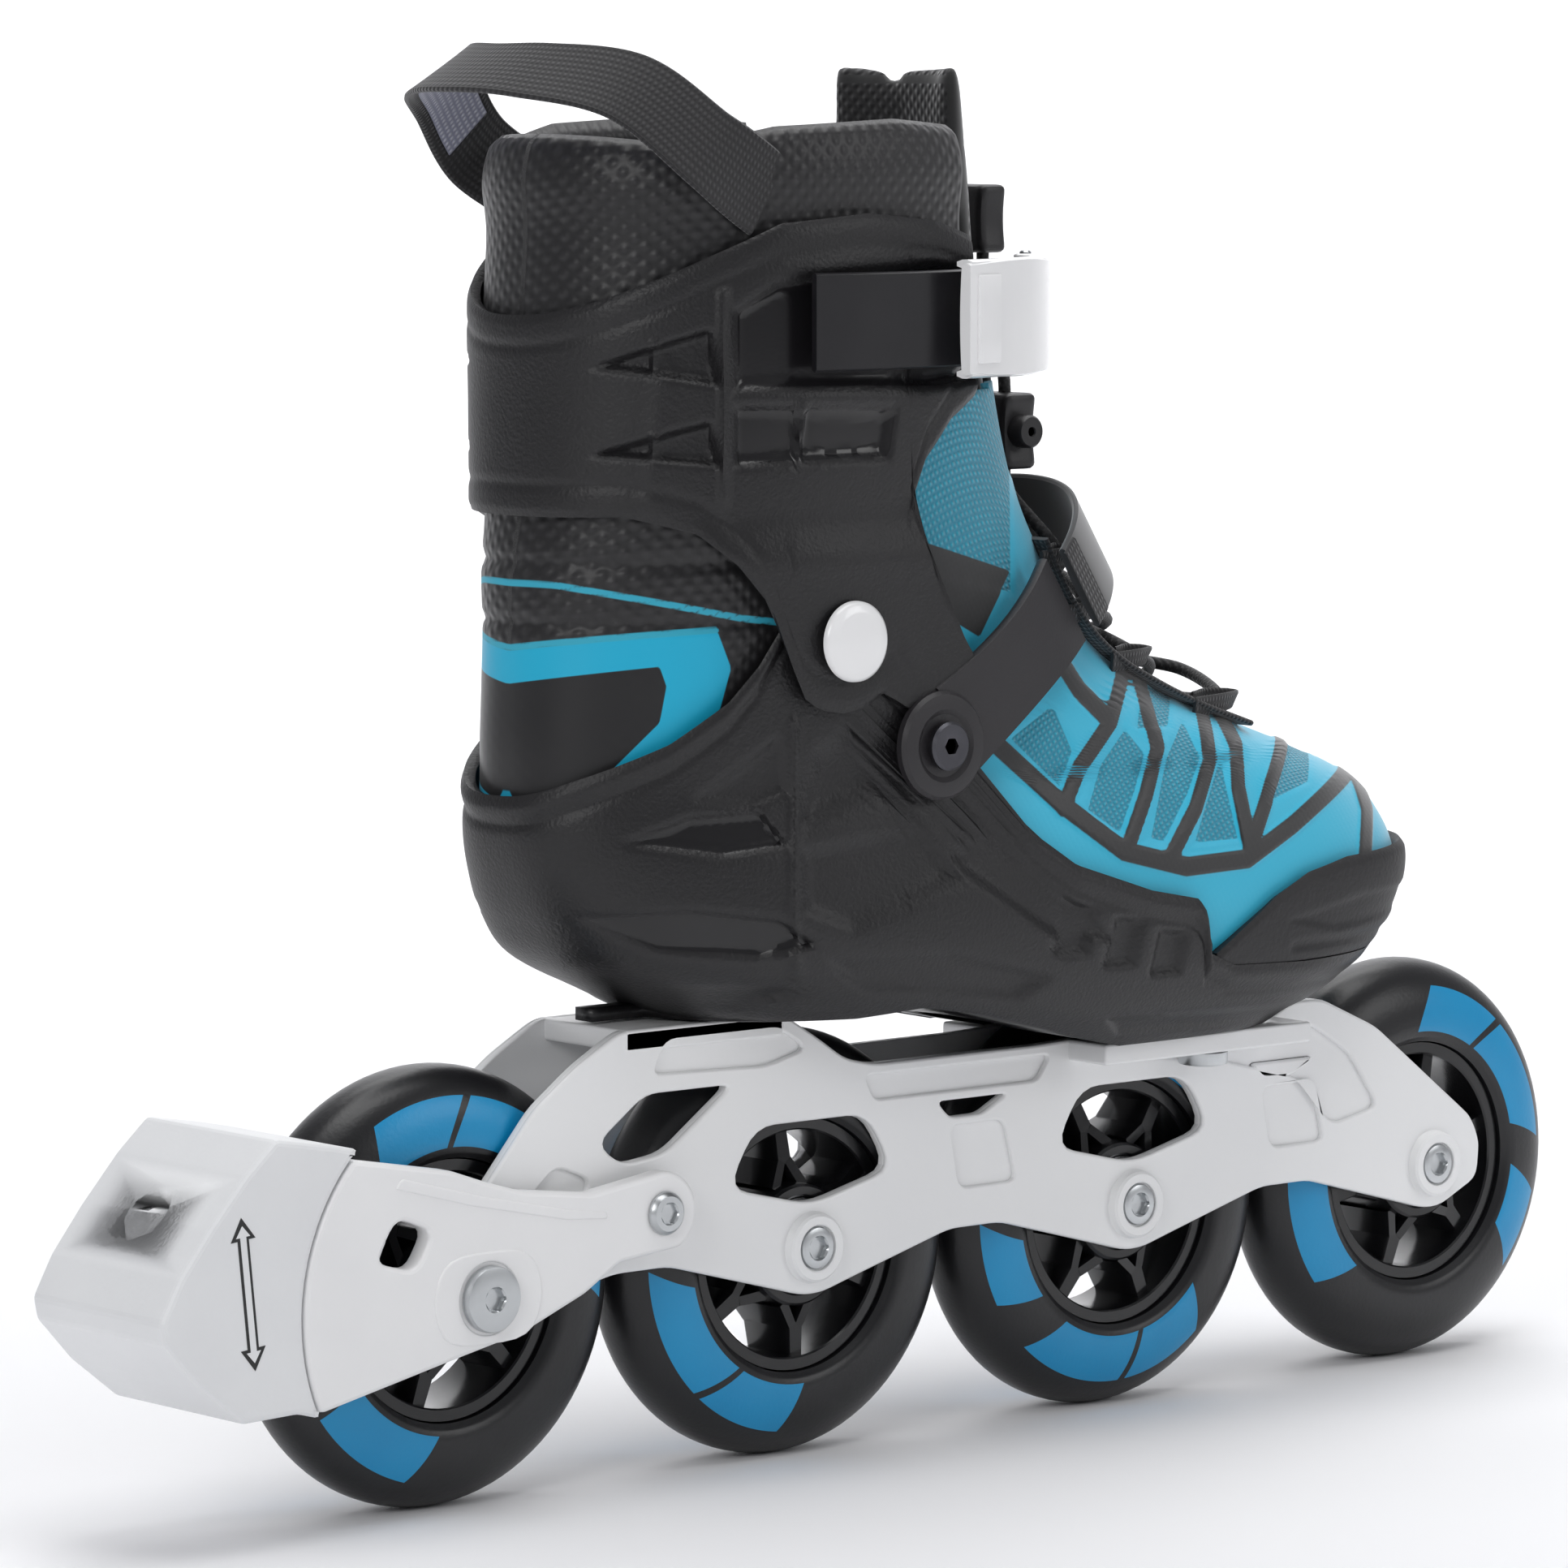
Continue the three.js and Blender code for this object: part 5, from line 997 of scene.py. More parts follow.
# %% Sole plate
sole_points, sole_faces = [], []
for k, x in enumerate(np.linspace(47, 268, 60)):
    z = float(line_at(SOLE, x)) + 0.35
    y = max(float(last_side(x, z + 1, 3.2)) - 2.4, 3)
    well = 14.0 if 158 < x < 250 else 0.0
    for s in (-1, 1):
        sole_points += [place(x, s * y, z), place(x, s * min(well, y - 1), z)]
    if k:
        a, b = (k - 1) * 4, k * 4
        sole_faces += [(a, a + 1, b + 1, b), (a + 2, a + 3, b + 3, b + 2)]
sole_plate = mesh_object("moulded_sole", sole_points, sole_faces, 60)
thick = sole_plate.modifiers.new("thickness", "SOLIDIFY")
thick.thickness = 0.003
thick.offset = 1 if sole_plate.data.polygons[0].normal.z > 0 else -1
dress(sole_plate, "boot", "shell_plastic", shell_plastic)
print("sole strip", len(sole_faces))

# %% [markdown]
# ## Cuff
# The cuff turns on the two pivots when the skater bends the ankle. It has the same grained
# plastic, with a rib down each side, pointed recesses behind it, a glossy channel for the strap in
# front of it, and a rolled rim that rises from the heel to the shin.

# %% Cuff edges, relief and wall
CUFF_LOW = [(-10, 221), (5, 221), (36, 222), (50, 218), (59, 211), (66, 203), (70.6, 194), (72.2, 187),
    (76, 181), (81, 177.6), (87, 176.6), (93, 177.6), (98, 181), (101.8, 187), (103.4, 194), (104.2, 210),
    (105.5, 222), (110, 233), (119, 242), (129, 247), (134, 254), (150, 258)]
CUFF_HIGH = [(-10, 262.5), (5, 263), (25, 266), (38, 273), (52, 280), (68, 287), (92, 289), (114, 287),
    (134, 282), (150, 280)]
STRAP_CHANNEL = [
    ([(54, 251), (112, 249.5), (140, 253), (140, 276), (112, 277), (66, 273), (54, 268)], -1.4, 2.4),
    ([(54, 246.5), (101, 244.5), (99, 234), (54, 234)], -1.5, 1.6),
]
CUFF_RELIEF = STRAP_CHANNEL + [
    ([(49.2, 226), (51.0, 226), (51.0, 273), (49.2, 273)], 1.1, 1.8),
    ([(12, 258.5), (46, 264), (48, 252.5)], -1.8, 1.6),
    ([(12, 239), (46, 243.5), (48, 234.5)], -1.8, 1.6),
    ([(71, 234), (73, 234), (75, 246), (73, 246)], 1.2, 1.2),
    ([(28, 255.5), (30, 255.5), (31, 262), (29, 262)], 0.9, 1.2),
    ([(28, 237), (30, 237), (31, 242), (29, 242)], 0.9, 1.2),
    ([(26, 226), (30, 226), (36, 256), (30, 262)], 0.3, 3.0),
]


def cuff_lift(x, z, side):
    over_ear = 1 - np.clip((z - 210) / 12, 0, 1)
    lift = 3.9 + 3.5 * over_ear * over_ear * (3 - 2 * over_ear)
    edge = np.minimum(z - line_at(CUFF_LOW, x), line_at(CUFF_HIGH, x) - z)
    roll = -0.7 * np.exp(-((edge / 1.2) ** 2)) - 0.4 * np.exp(-(((edge - 7) / 1.2) ** 2))
    return lift + roll + 1.6 * relief(*slanted(x, z), CUFF_RELIEF) * np.minimum(np.abs(side) * 1.5, 1)


cuff_xs = np.concatenate([np.linspace(34, 68, 36), np.linspace(69, 102.4, 40), np.linspace(102.8, 106, 8),
    np.linspace(107, 133.5, 28)])
cuff_half = [a for a in side_angles(cuff_xs, 240.0, 4.0)]
cuff_half = list(np.linspace(math.pi, cuff_half[0] + 0.02, 18)) + cuff_half
cuff_around = list(reversed(cuff_half)) + [2 * math.pi - a for a in cuff_half[1:]]
hinged_cuff = wrap("hinged_cuff", cuff_around, np.linspace(0, 1, 72), lambda x: line_at(CUFF_LOW, x),
    lambda x: line_at(CUFF_HIGH, x), cuff_lift, 2.4, False)
x, z, y = side_view(hinged_cuff, plane=46.0)
mark(hinged_cuff, "polish", np.max([inside(line, x, z) for line, _, _ in STRAP_CHANNEL], axis=0))
dress(hinged_cuff, "ankle_cuff", "shell_plastic", shell_plastic, "cuff")
print("cuff points", len(hinged_cuff.data.vertices))

# %% Pivot caps
pivot_half = float(last_at(4, 193))
for label, s in (("right", -1), ("left", 1)):
    out = pivot_half + 7.5
    cap = [(0.02, (out + 2.3) * s), (6.2, (out + 2.2) * s), (8.2, (out + 1.9) * s), (9.1, (out + 1.2) * s),
        (9.2, (out + 0.2) * s), (4, out * s), (4, (pivot_half + 1) * s), (0.02, (pivot_half + 1) * s)]
    dress(spin(f"pivot_cap_{label}", cap, 87, 193, sides=56, sharp=50), "boot", "rivet_plastic",
        gloss_white, f"cuff_rivet_{label}")
print("pivot half width", round(pivot_half, 1))

# %% [markdown]
# ## Toe cap
# The toe cap is a separate moulding of tougher plastic that wraps the front. It has a stepped
# lower lip and a soft upper edge where it overlaps the fabric.

# %% Toe cap wall
CAP_TOP = [(190, 112), (199, 113.4), (207, 119), (218, 126.3), (229, 131), (244, 133.5), (262, 134),
    (300, 135.5)]
CAP_RELIEF = [
    ([(222, 120), (250, 124), (280, 124), (300, 124), (300, 118.4), (270, 118), (240, 116.4)], -0.8, 1.4),
    ([(224, 114.6), (300, 114.6), (300, 112.4), (224, 112.4)], -0.8, 1.2),
]


def cap_lift(x, z, side):
    edge = line_at(CAP_TOP, x) - z
    return 3.6 - 0.9 * np.exp(-((edge / 1.0) ** 2)) + relief(x, z, CAP_RELIEF)


cap_half = [a for a in side_angles(np.linspace(199, 276, 60), 122.0, 4.0) if a > 0.3]
cap_half = cap_half + list(np.linspace(cap_half[-1] - 0.03, 0, 22))
cap_around = cap_half + [-a for a in reversed(cap_half[:-1])]
toe_cap = wrap("moulded_toe_cap", cap_around, np.linspace(0, 1, 30), lambda x: 109.7 + 0 * x,
    lambda x: np.maximum(line_at(CAP_TOP, x), 110.6), cap_lift, 2.6, False)
dress(toe_cap, "boot", "toe_cap_plastic", cap_plastic, "toe_cap")
print("toe cap points", len(toe_cap.data.vertices))
# %% [markdown]
# ## Fabrics
# Woven and knitted cloth shows its threads: a bump at the thread spacing, a small change of colour
# from thread to thread, and a soft sheen from loose fibres. Real threads are half a
# millimetre apart, too fine for the picture, so they are drawn from 0.8 to 3 mm apart. The pattern
# is laid on each piece as flat cloth is: every point stores where it lies along the two threads.

# %% Woven cloth, with optional printed film, piping and panels
def threads(material, vector, spacing_mm, turn=0.0):
    """A height from 0 to 1 of two crossing sets of threads."""
    turned = add(material, "ShaderNodeMapping", {"Vector": vector,
        "Rotation": (0.0, math.radians(turn), 0.0)})
    sets = []
    for axis in ("X", "Z"):
        wave = add(material, "ShaderNodeTexWave", {"Vector": turned.outputs["Vector"],
            "Scale": 2 * math.pi * 1000 / spacing_mm / 20, "Distortion": 0.0}, wave_type="BANDS",
            bands_direction=axis)
        sets.append(wave.outputs["Fac"])
    return add(material, "ShaderNodeMath", {0: sets[0], 1: sets[1]}, operation="MULTIPLY").outputs["Value"]


def cloth(name, dark, light, roughness, spacing_mm, height, turn=45.0, sheen=0.35):
    material, surface = blank(name, dark, roughness, Sheen_Weight=sheen, Sheen_Roughness=0.5)
    laid = add(material, "ShaderNodeAttribute", attribute_name="laid")
    weave = threads(material, laid.outputs["Vector"], spacing_mm, turn)
    fuzz = add(material, "ShaderNodeTexNoise", {"Vector": laid.outputs["Vector"], "Scale": 120.0,
        "Detail": 4.0})
    level = add(material, "ShaderNodeMath", {0: weave, 1: fuzz.outputs["Fac"]}, operation="MULTIPLY")
    tone = add(material, "ShaderNodeMix", {"Factor": level.outputs["Value"]}, data_type="RGBA")
    tone.inputs[6].default_value = linear(dark)
    tone.inputs[7].default_value = linear(light)
    link(material, tone.outputs[2], surface.inputs["Base Color"])
    bump = add(material, "ShaderNodeBump", {"Height": weave, "Strength": height, "Distance": 0.0004})
    link(material, bump.outputs["Normal"], surface.inputs["Normal"])
    material["bump"] = bump.name
    return material


def lay_cloth(piece, u, v):
    """Stores where each point lies on the flat cloth, in millimetres along its two threads."""
    store = piece.data.attributes.new("laid", "FLOAT_VECTOR", "POINT")
    flat = np.stack([u, 0 * np.asarray(u), v], 1) / 1000
    store.data.foreach_set("vector", flat.astype(np.float32).reshape(-1))


def over(material, attribute, colour, roughness, soft=0.15, flatten=True):
    """Lays a smooth film of one colour wherever the attribute is positive."""
    tree = material.node_tree
    surface = tree.nodes["Principled BSDF"]
    field = add(material, "ShaderNodeAttribute", attribute_name=attribute)
    on = add(material, "ShaderNodeMapRange", {"Value": field.outputs["Fac"], "From Min": -soft,
        "From Max": soft}).outputs["Result"]
    below = surface.inputs["Base Color"].links[0].from_socket
    mix = add(material, "ShaderNodeMix", {"Factor": on}, data_type="RGBA")
    link(material, below, mix.inputs[6])
    mix.inputs[7].default_value = linear(colour)
    link(material, mix.outputs[2], surface.inputs["Base Color"])
    rough = surface.inputs["Roughness"]
    start = rough.links[0].from_socket if rough.links else rough.default_value
    shine = add(material, "ShaderNodeMix", {"Factor": on, "A": start, "B": roughness})
    link(material, shine.outputs["Result"], rough)
    if flatten:
        bump = tree.nodes[material["bump"]]
        strength = bump.inputs["Strength"]
        first = strength.links[0].from_socket if strength.links else strength.default_value
        calm = add(material, "ShaderNodeMix", {"Factor": on, "A": first, "B": 0.04})
        link(material, calm.outputs["Result"], strength)
    return material


# Polyester mesh of the forefoot: sky blue, open weave.
sky_mesh = cloth("woven polyester mesh", "#0c84a0", "#27c8e4", 0.62, 1.5, 0.9, 30.0)
# Welded polyurethane film over the mesh: flat, slightly glossy; then the black web printed on it.
over(sky_mesh, "film", "#1fb4d6", 0.42)
over(sky_mesh, "web", "#141416", 0.4)
over(sky_mesh, "gusset", "#171719", 0.6)
# Synthetic leather of the ankle, embossed with small squares that look like carbon weave.
ankle_cloth = cloth("embossed synthetic leather", "#161517", "#2b2a2c", 0.42, 3.0, 0.55, 45.0, 0.1)
over(ankle_cloth, "heel_blue", "#08b0d6", 0.45)
over(ankle_cloth, "heel_black", "#151416", 0.36)
over(ankle_cloth, "piping", "#2fa9c4", 0.6)
# Suede-like microfibre of the instep pad.
suede = cloth("microfibre suede", "#19181b", "#2a292c", 0.82, 0.9, 0.25, 20.0, 0.6)
# Felted cover of the insole.
felt = cloth("felted polyester", "#1d1d1f", "#303033", 0.9, 0.8, 0.4, 10.0, 0.4)
print("cloths ready")

# %% [markdown]
# Webbing is woven flat and tight, with ribs across it. The ribs follow the strap, so this material
# reads the strap's own coordinates: how far along it a point is, and how far across.

# %% Nylon webbing and braided lace
def ribbed(name, dark, light, ribs_per_m, roughness=0.7, crossed=False):
    material, surface = blank(name, dark, roughness, Sheen_Weight=0.25)
    strap = add(material, "ShaderNodeUVMap", uv_map="along")
    one = add(material, "ShaderNodeTexWave", {"Vector": strap.outputs["UV"],
        "Scale": 2 * math.pi * ribs_per_m / 20}, wave_type="BANDS",
        bands_direction="DIAGONAL" if crossed else "X")
    two = add(material, "ShaderNodeTexWave", {"Vector": strap.outputs["UV"],
        "Scale": 2 * math.pi * ribs_per_m / 28}, wave_type="BANDS", bands_direction="Y")
    both = add(material, "ShaderNodeMath", {0: one.outputs["Fac"], 1: two.outputs["Fac"], 2: 0.0},
        operation="MULTIPLY_ADD")
    tone = add(material, "ShaderNodeMix", {"Factor": both.outputs["Value"]}, data_type="RGBA")
    tone.inputs[6].default_value = linear(dark)
    tone.inputs[7].default_value = linear(light)
    link(material, tone.outputs[2], surface.inputs["Base Color"])
    bump = add(material, "ShaderNodeBump", {"Height": both.outputs["Value"], "Strength": 0.7,
        "Distance": 0.0003})
    link(material, bump.outputs["Normal"], surface.inputs["Normal"])
    return material


webbing = ribbed("woven nylon webbing", "#131214", "#29282b", 800)
loop_inside = ribbed("silver-grey webbing", "#84869a", "#c9cad6", 800)
lace_braid = ribbed("braided polyester cord", "#0e0e10", "#262628", 900, crossed=True)
print("webbings ready")

# %% [markdown]
# ## Fabric upper
# The upper is one woven blue mesh over the forefoot and the front of the ankle. A film is welded
# over it with triangular windows that leave the mesh open, and a black web runs between the windows
# like the veins of a leaf. Its grid of points runs from under the shell to the edge of the tongue.

# %% Upper surface
THROAT = 22.0
WEB = [
    [(139, 172), (145, 165), (165, 150), (185, 137.5), (205, 132.5), (225, 133), (240, 140), (262, 152),
    (276, 162)],
    [(166, 149), (171, 158), (181, 168), (187, 182)],
    [(186, 138), (192, 150), (196, 161), (190, 182)],
    [(199, 134), (208, 146), (213, 157), (211, 176)],
    [(226, 134), (222, 150), (222, 160), (216, 172)],
    [(263, 152), (266, 142), (264, 128)],
    [(181, 168), (171, 176), (160, 190)],
    [(225, 134), (233, 150), (240, 162), (246, 172)],
]
WINDOWS = [
    [(150, 166), (165, 154), (169, 162), (163, 173)],
    [(174, 148), (184, 142), (189, 152), (192, 160), (186, 166), (178, 158)],
    [(194, 140), (198, 139), (206, 150), (210, 158), (205, 167), (199, 158)],
    [(208, 138), (222, 138), (218, 152), (217, 158)],
    [(232, 146), (246, 150), (250, 163), (243, 163)],
    [(190, 166), (200, 166), (202, 174), (192, 176)],
    [(250, 156), (268, 162), (262, 172), (252, 168)],
    [(100, 214), (104, 232), (118, 247), (150, 256), (150, 200), (130, 205)],
]


def throat_angle(z):
    """The angle at which the upper's edge stands beside the tongue, and 0 over the closed toes."""
    wide = last_at(4, z)
    angle = np.arcsin(np.clip(THROAT / wide, 0, 1) ** (last_at(5, z) / 2))
    closing = np.clip((z - 156) / 5, 0, 1)
    return angle * closing * closing * (3 - 2 * closing)


def upper_half(s):
    heights = np.concatenate([np.linspace(107, 128, 18), np.linspace(128.5, 172, 74),
        np.linspace(173, 249, 60)])
    # The flat side passes in a few degrees, so the columns stand closer there.
    shares = np.concatenate([np.linspace(0, 0.4, 150), np.linspace(0.4, 1, 70)[1:]])
    z, share = np.meshgrid(heights, shares, indexing="ij")
    start = math.radians(112)
    angle = start + (throat_angle(z) - start) * share
    points = last_point(angle, z, 0.15 + 0 * z)
    points[..., 1] *= s
    keep = []
    index = {}
    rows, columns = z.shape
    for i in range(rows - 1):
        for k in range(columns - 1):
            x, height = points[i, k, 0], points[i, k, 2]
            limit = 101 + max(height - 213, 0) * 0.35 if height > 200 else 112
            if x > limit - 2 and height < 247 + max(x - 124, 0) * 0.04:
                keep.append((i * columns + k, i * columns + k + 1, (i + 1) * columns + k + 1,
                    (i + 1) * columns + k))
    return points.reshape(-1, 3), keep


right_points, right_faces = upper_half(-1)
left_points, left_faces = upper_half(1)
offset = len(right_points)
used = sorted({v for face in right_faces for v in face} | {v + offset for face in left_faces for v in face})
renumber = {old: new for new, old in enumerate(used)}
all_points = np.concatenate([right_points, left_points])
all_faces = [tuple(renumber[v] for v in face) for face in right_faces]
all_faces += [tuple(renumber[v + offset] for v in face) for face in left_faces]
fabric_upper = mesh_object("fabric_upper", [place(*all_points[v]) for v in used], all_faces, 70)
x, z, y = side_view(fabric_upper, plane=30.0)
web = np.max([off_line(line, x, z, 2.3) for line in WEB], axis=0)
windows_field = np.max([inside(line, x, z) for line in WINDOWS], axis=0)
mark(fabric_upper, "film", -windows_field)
mark(fabric_upper, "web", web)
mark(fabric_upper, "gusset", np.minimum(inside([(95, 205), (112, 204), (140, 190), (150, 205), (118, 214),
    (104, 212)], x, z), 9))
height = np.clip(-windows_field / 0.8, 0, 1) * 0.35 + np.clip(web / 0.6 + 0.5, 0, 1) * 0.45
normals = np.empty(len(height) * 3)
fabric_upper.data.vertices.foreach_get("normal", normals)
spots = np.empty(len(height) * 3)
fabric_upper.data.vertices.foreach_get("co", spots)
fabric_upper.data.vertices.foreach_set("co", spots + normals * np.repeat(height, 3) / 1000)
fabric_upper.data.update()
lay_cloth(fabric_upper, x, z - np.abs(y))
inner = fabric_upper.modifiers.new("cloth thickness", "SOLIDIFY")
inner.thickness = 0.0018
inner.offset = -1
dress(fabric_upper, "boot", "upper_fabric", sky_mesh, "textile_upper")
print("upper points", len(fabric_upper.data.vertices))

# %% [markdown]
# ## Padded inner boot
# Behind the shell and the cuff the foot sits in a padded liner. Its heel shows between the two:
# a black counter panel framed in blue, a ribbed band above it and piping between them. Above the
# cuff the collar is padded foam under knitted cloth, with the embossed panels on its outside.

# %% Liner outside
LINER_TOP = [(10, 302), (32, 307), (50, 304.5), (70, 308.5), (104, 310), (160, 306)]
HEEL_FRAME = [(-40, 197), (48, 197.5), (52, 189), (48, 178), (38, 169), (10, 160.5), (4, 157), (-40, 157)]
HEEL_PANEL = [(-22, 189.5), (31, 190.5), (33, 186), (31, 178), (13, 165.5), (-12, 163), (-22, 180)]
PIPINGS = [
    [(-40, 211), (-18, 213), (0, 210.8), (30, 205), (55, 200), (70, 198)],
    [(-40, 197.6), (-18, 197.8), (48, 197.8)],
]


def liner_wall(name, angles, heights, top, lift, thickness):
    angle, share = np.meshgrid(angles, heights, indexing="ij")
    low = 112.0
    z = np.full(angle.shape, 200.0)
    for _ in range(8):
        x = last_point(angle, z, 0 * z)[..., 0]
        z = low * (1 - share) + line_at(top, x) * share
    points = last_point(angle, z, lift(x, z))
    piece = mesh_object(name, [place(*p) for p in points.reshape(-1, 3)],
        grid_faces(len(angles), len(heights), False), 60)
    if sum(f.normal.dot(f.center - Vector((-0.03, 0, 0))) * f.area for f in piece.data.polygons) < 0:
        piece.data.flip_normals()
    wall = piece.modifiers.new("foam", "SOLIDIFY")
    wall.thickness = thickness / 1000
    wall.offset = -1
    return piece


def liner_lift(x, z):
    below_top = line_at(LINER_TOP, x) - z
    collar = 2.2 * np.exp(-(((below_top - 9) / 9) ** 2)) - 2.0 * np.clip(1 - below_top / 3, 0, 1) ** 2
    seam = -0.9 * np.exp(-(((z - 211) / 1.6) ** 2)) - 0.8 * np.exp(-(((z - 197.6) / 1.2) ** 2))
    under_upper = np.clip((x - 101 - np.clip((205 - z) * 0.13, 0, 12)) / 4, 0, 1) * (z < 262)
    return 0.2 + collar + seam * (z > 190) - 3.2 * under_upper


liner_angles = np.linspace(math.radians(56), math.radians(304), 190)
padded_liner = liner_wall("padded_liner", liner_angles, np.linspace(0, 1, 170), LINER_TOP, liner_lift, 6.4)
x, z, y = side_view(padded_liner, plane=46.0)
frame_field = np.minimum(inside(HEEL_FRAME, x, z), 60)
mark(padded_liner, "heel_blue", np.minimum(frame_field, -inside(HEEL_PANEL, x, z)))
mark(padded_liner, "heel_black", inside(HEEL_PANEL, x, z))
real_x = x + (46.0 - np.abs(y)) * 0.855
lay_cloth(padded_liner, np.arctan2(y, real_x - 88) * 50, z)
mark(padded_liner, "piping", np.max([off_line(line, x, z, 0.75) for line in PIPINGS], axis=0))
dress(padded_liner, "boot", "liner_fabric", ankle_cloth, "liner")
print("liner points", len(padded_liner.data.vertices))
# %% [markdown]
# ## Tongue
# The tongue is a foam pad sewn into knitted cloth. To make it swell like foam in a cover, a copy of
# the CAD pad is remeshed finely and blown up a little as cloth, so that its faces crown and its
# edges stay drawn in. The result is kept as a plain mesh.

# %% Padded tongue by cloth simulation
def copy_of(node, name):
    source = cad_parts[node]
    copy = source.copy()
    copy.data = source.data.copy()
    copy.name = name
    copy.parent = None
    copy.matrix_world = source.matrix_world.copy()
    bpy.context.scene.collection.objects.link(copy)
    copy.data.materials.clear()
    return copy


def apply_modifiers(piece):
    graph = bpy.context.evaluated_depsgraph_get()
    piece.data = bpy.data.meshes.new_from_object(piece.evaluated_get(graph))
    piece.modifiers.clear()


def stuffed(piece, voxel_mm, pressure, most_mm, shrink=-0.02):
    remesh = piece.modifiers.new("fine", "REMESH")
    remesh.mode = "VOXEL"
    remesh.voxel_size = voxel_mm / 1000
    apply_modifiers(piece)
    before = np.array([v.co[:] for v in piece.data.vertices])
    blow = piece.modifiers.new("stuffing", "CLOTH")
    blow.settings.use_pressure = True
    blow.settings.uniform_pressure_force = pressure
    blow.settings.shrink_min = shrink
    blow.settings.effector_weights.gravity = 0.0
    blow.settings.tension_stiffness = 30
    blow.point_cache.frame_start, blow.point_cache.frame_end = 1, 20
    for step in range(1, 21):
        bpy.context.scene.frame_set(step)
    apply_modifiers(piece)
    bpy.context.scene.frame_set(1)
    after = np.array([v.co[:] for v in piece.data.vertices])
    moved = after - before
    far = np.linalg.norm(moved, axis=1, keepdims=True)
    after = before + moved * np.minimum(1, most_mm / 1000 / np.maximum(far, 1e-9))
    piece.data.vertices.foreach_set("co", after.reshape(-1))
    smooth = piece.modifiers.new("smooth", "SMOOTH")
    smooth.factor, smooth.iterations = 0.5, 4
    soft = piece.modifiers.new("soft", "SUBSURF")
    soft.levels = soft.render_levels = 1
    apply_modifiers(piece)
    piece.data.shade_smooth()
    return float(far.max() * 1000)


padded_tongue = copy_of("tongue", "padded_tongue")
TONGUE_MOST = 2.0  # mm that the stuffing may move the thin pad, under the laces
moved = stuffed(padded_tongue, 4.0, 3.0, TONGUE_MOST)
x, z, y = side_view(padded_tongue)
mark(padded_tongue, "piping", np.maximum(off_line([(100, 318.6), (200, 318.6)], x, z, 1.0),
    np.abs(y) - 19.4))
tongue_knit = cloth("padded airmesh", "#121113", "#29282b", 0.88, 2.2, 0.9, 45.0, 0.5)
over(tongue_knit, "piping", "#0d0d0e", 0.7)
lay_cloth(padded_tongue, y, z)
dress(padded_tongue, "boot", "tongue_fabric", tongue_knit, "tongue")
print("stuffing pushed the tongue", round(moved, 2), "mm, held to", TONGUE_MOST, "mm")

soft_insole = copy_of("insole", "soft_insole")
stuffed(soft_insole, 4.0, 1.0, 0.8)
x, z, y = side_view(soft_insole)
lay_cloth(soft_insole, x, y)
dress(soft_insole, "boot", "insole_fabric", felt, "insole")
print("insole points", len(soft_insole.data.vertices))

# %% [markdown]
# ## Straps and cords
# A strap or a lace is one section pushed along a smooth path. The path's points are few and listed,
# and a spline through them gives the route. Each point of the skin also keeps how far
# along and how far across the strap it is, so that ribs and braid follow the strap.

# %% Sweep a section along a path
def spline(points, count):
    """Centripetal Catmull-Rom through the points, evenly spaced along its length."""
    p = np.array([points[0] * 2 - points[1], *points, points[-1] * 2 - points[-2]])
    out = []
    for a, b, c, d in zip(p, p[1:], p[2:], p[3:]):
        k = [max(float(np.linalg.norm(v - u)), 1e-6) ** 0.5 for u, v in ((a, b), (b, c), (c, d))]
        start = (b - a) / k[0] - (c - a) / (k[0] + k[1]) + (c - b) / k[1]
        end = (c - b) / k[1] - (d - b) / (k[1] + k[2]) + (d - c) / k[2]
        t = np.linspace(0, 1, 25)[:, None]
        m0, m1 = start * k[1], end * k[1]
        out.append((b + m0 * t + (3 * (c - b) - 2 * m0 - m1) * t * t + (2 * (b - c) + m0 + m1) * t**3)[:-1])
    out = np.concatenate([*out, [points[-1]]])
    length = np.concatenate([[0], np.cumsum(np.linalg.norm(np.diff(out, axis=0), axis=1))])
    even = np.linspace(0, length[-1], count)
    return np.stack([np.interp(even, length, out[:, i]) for i in range(3)], 1), float(length[-1])


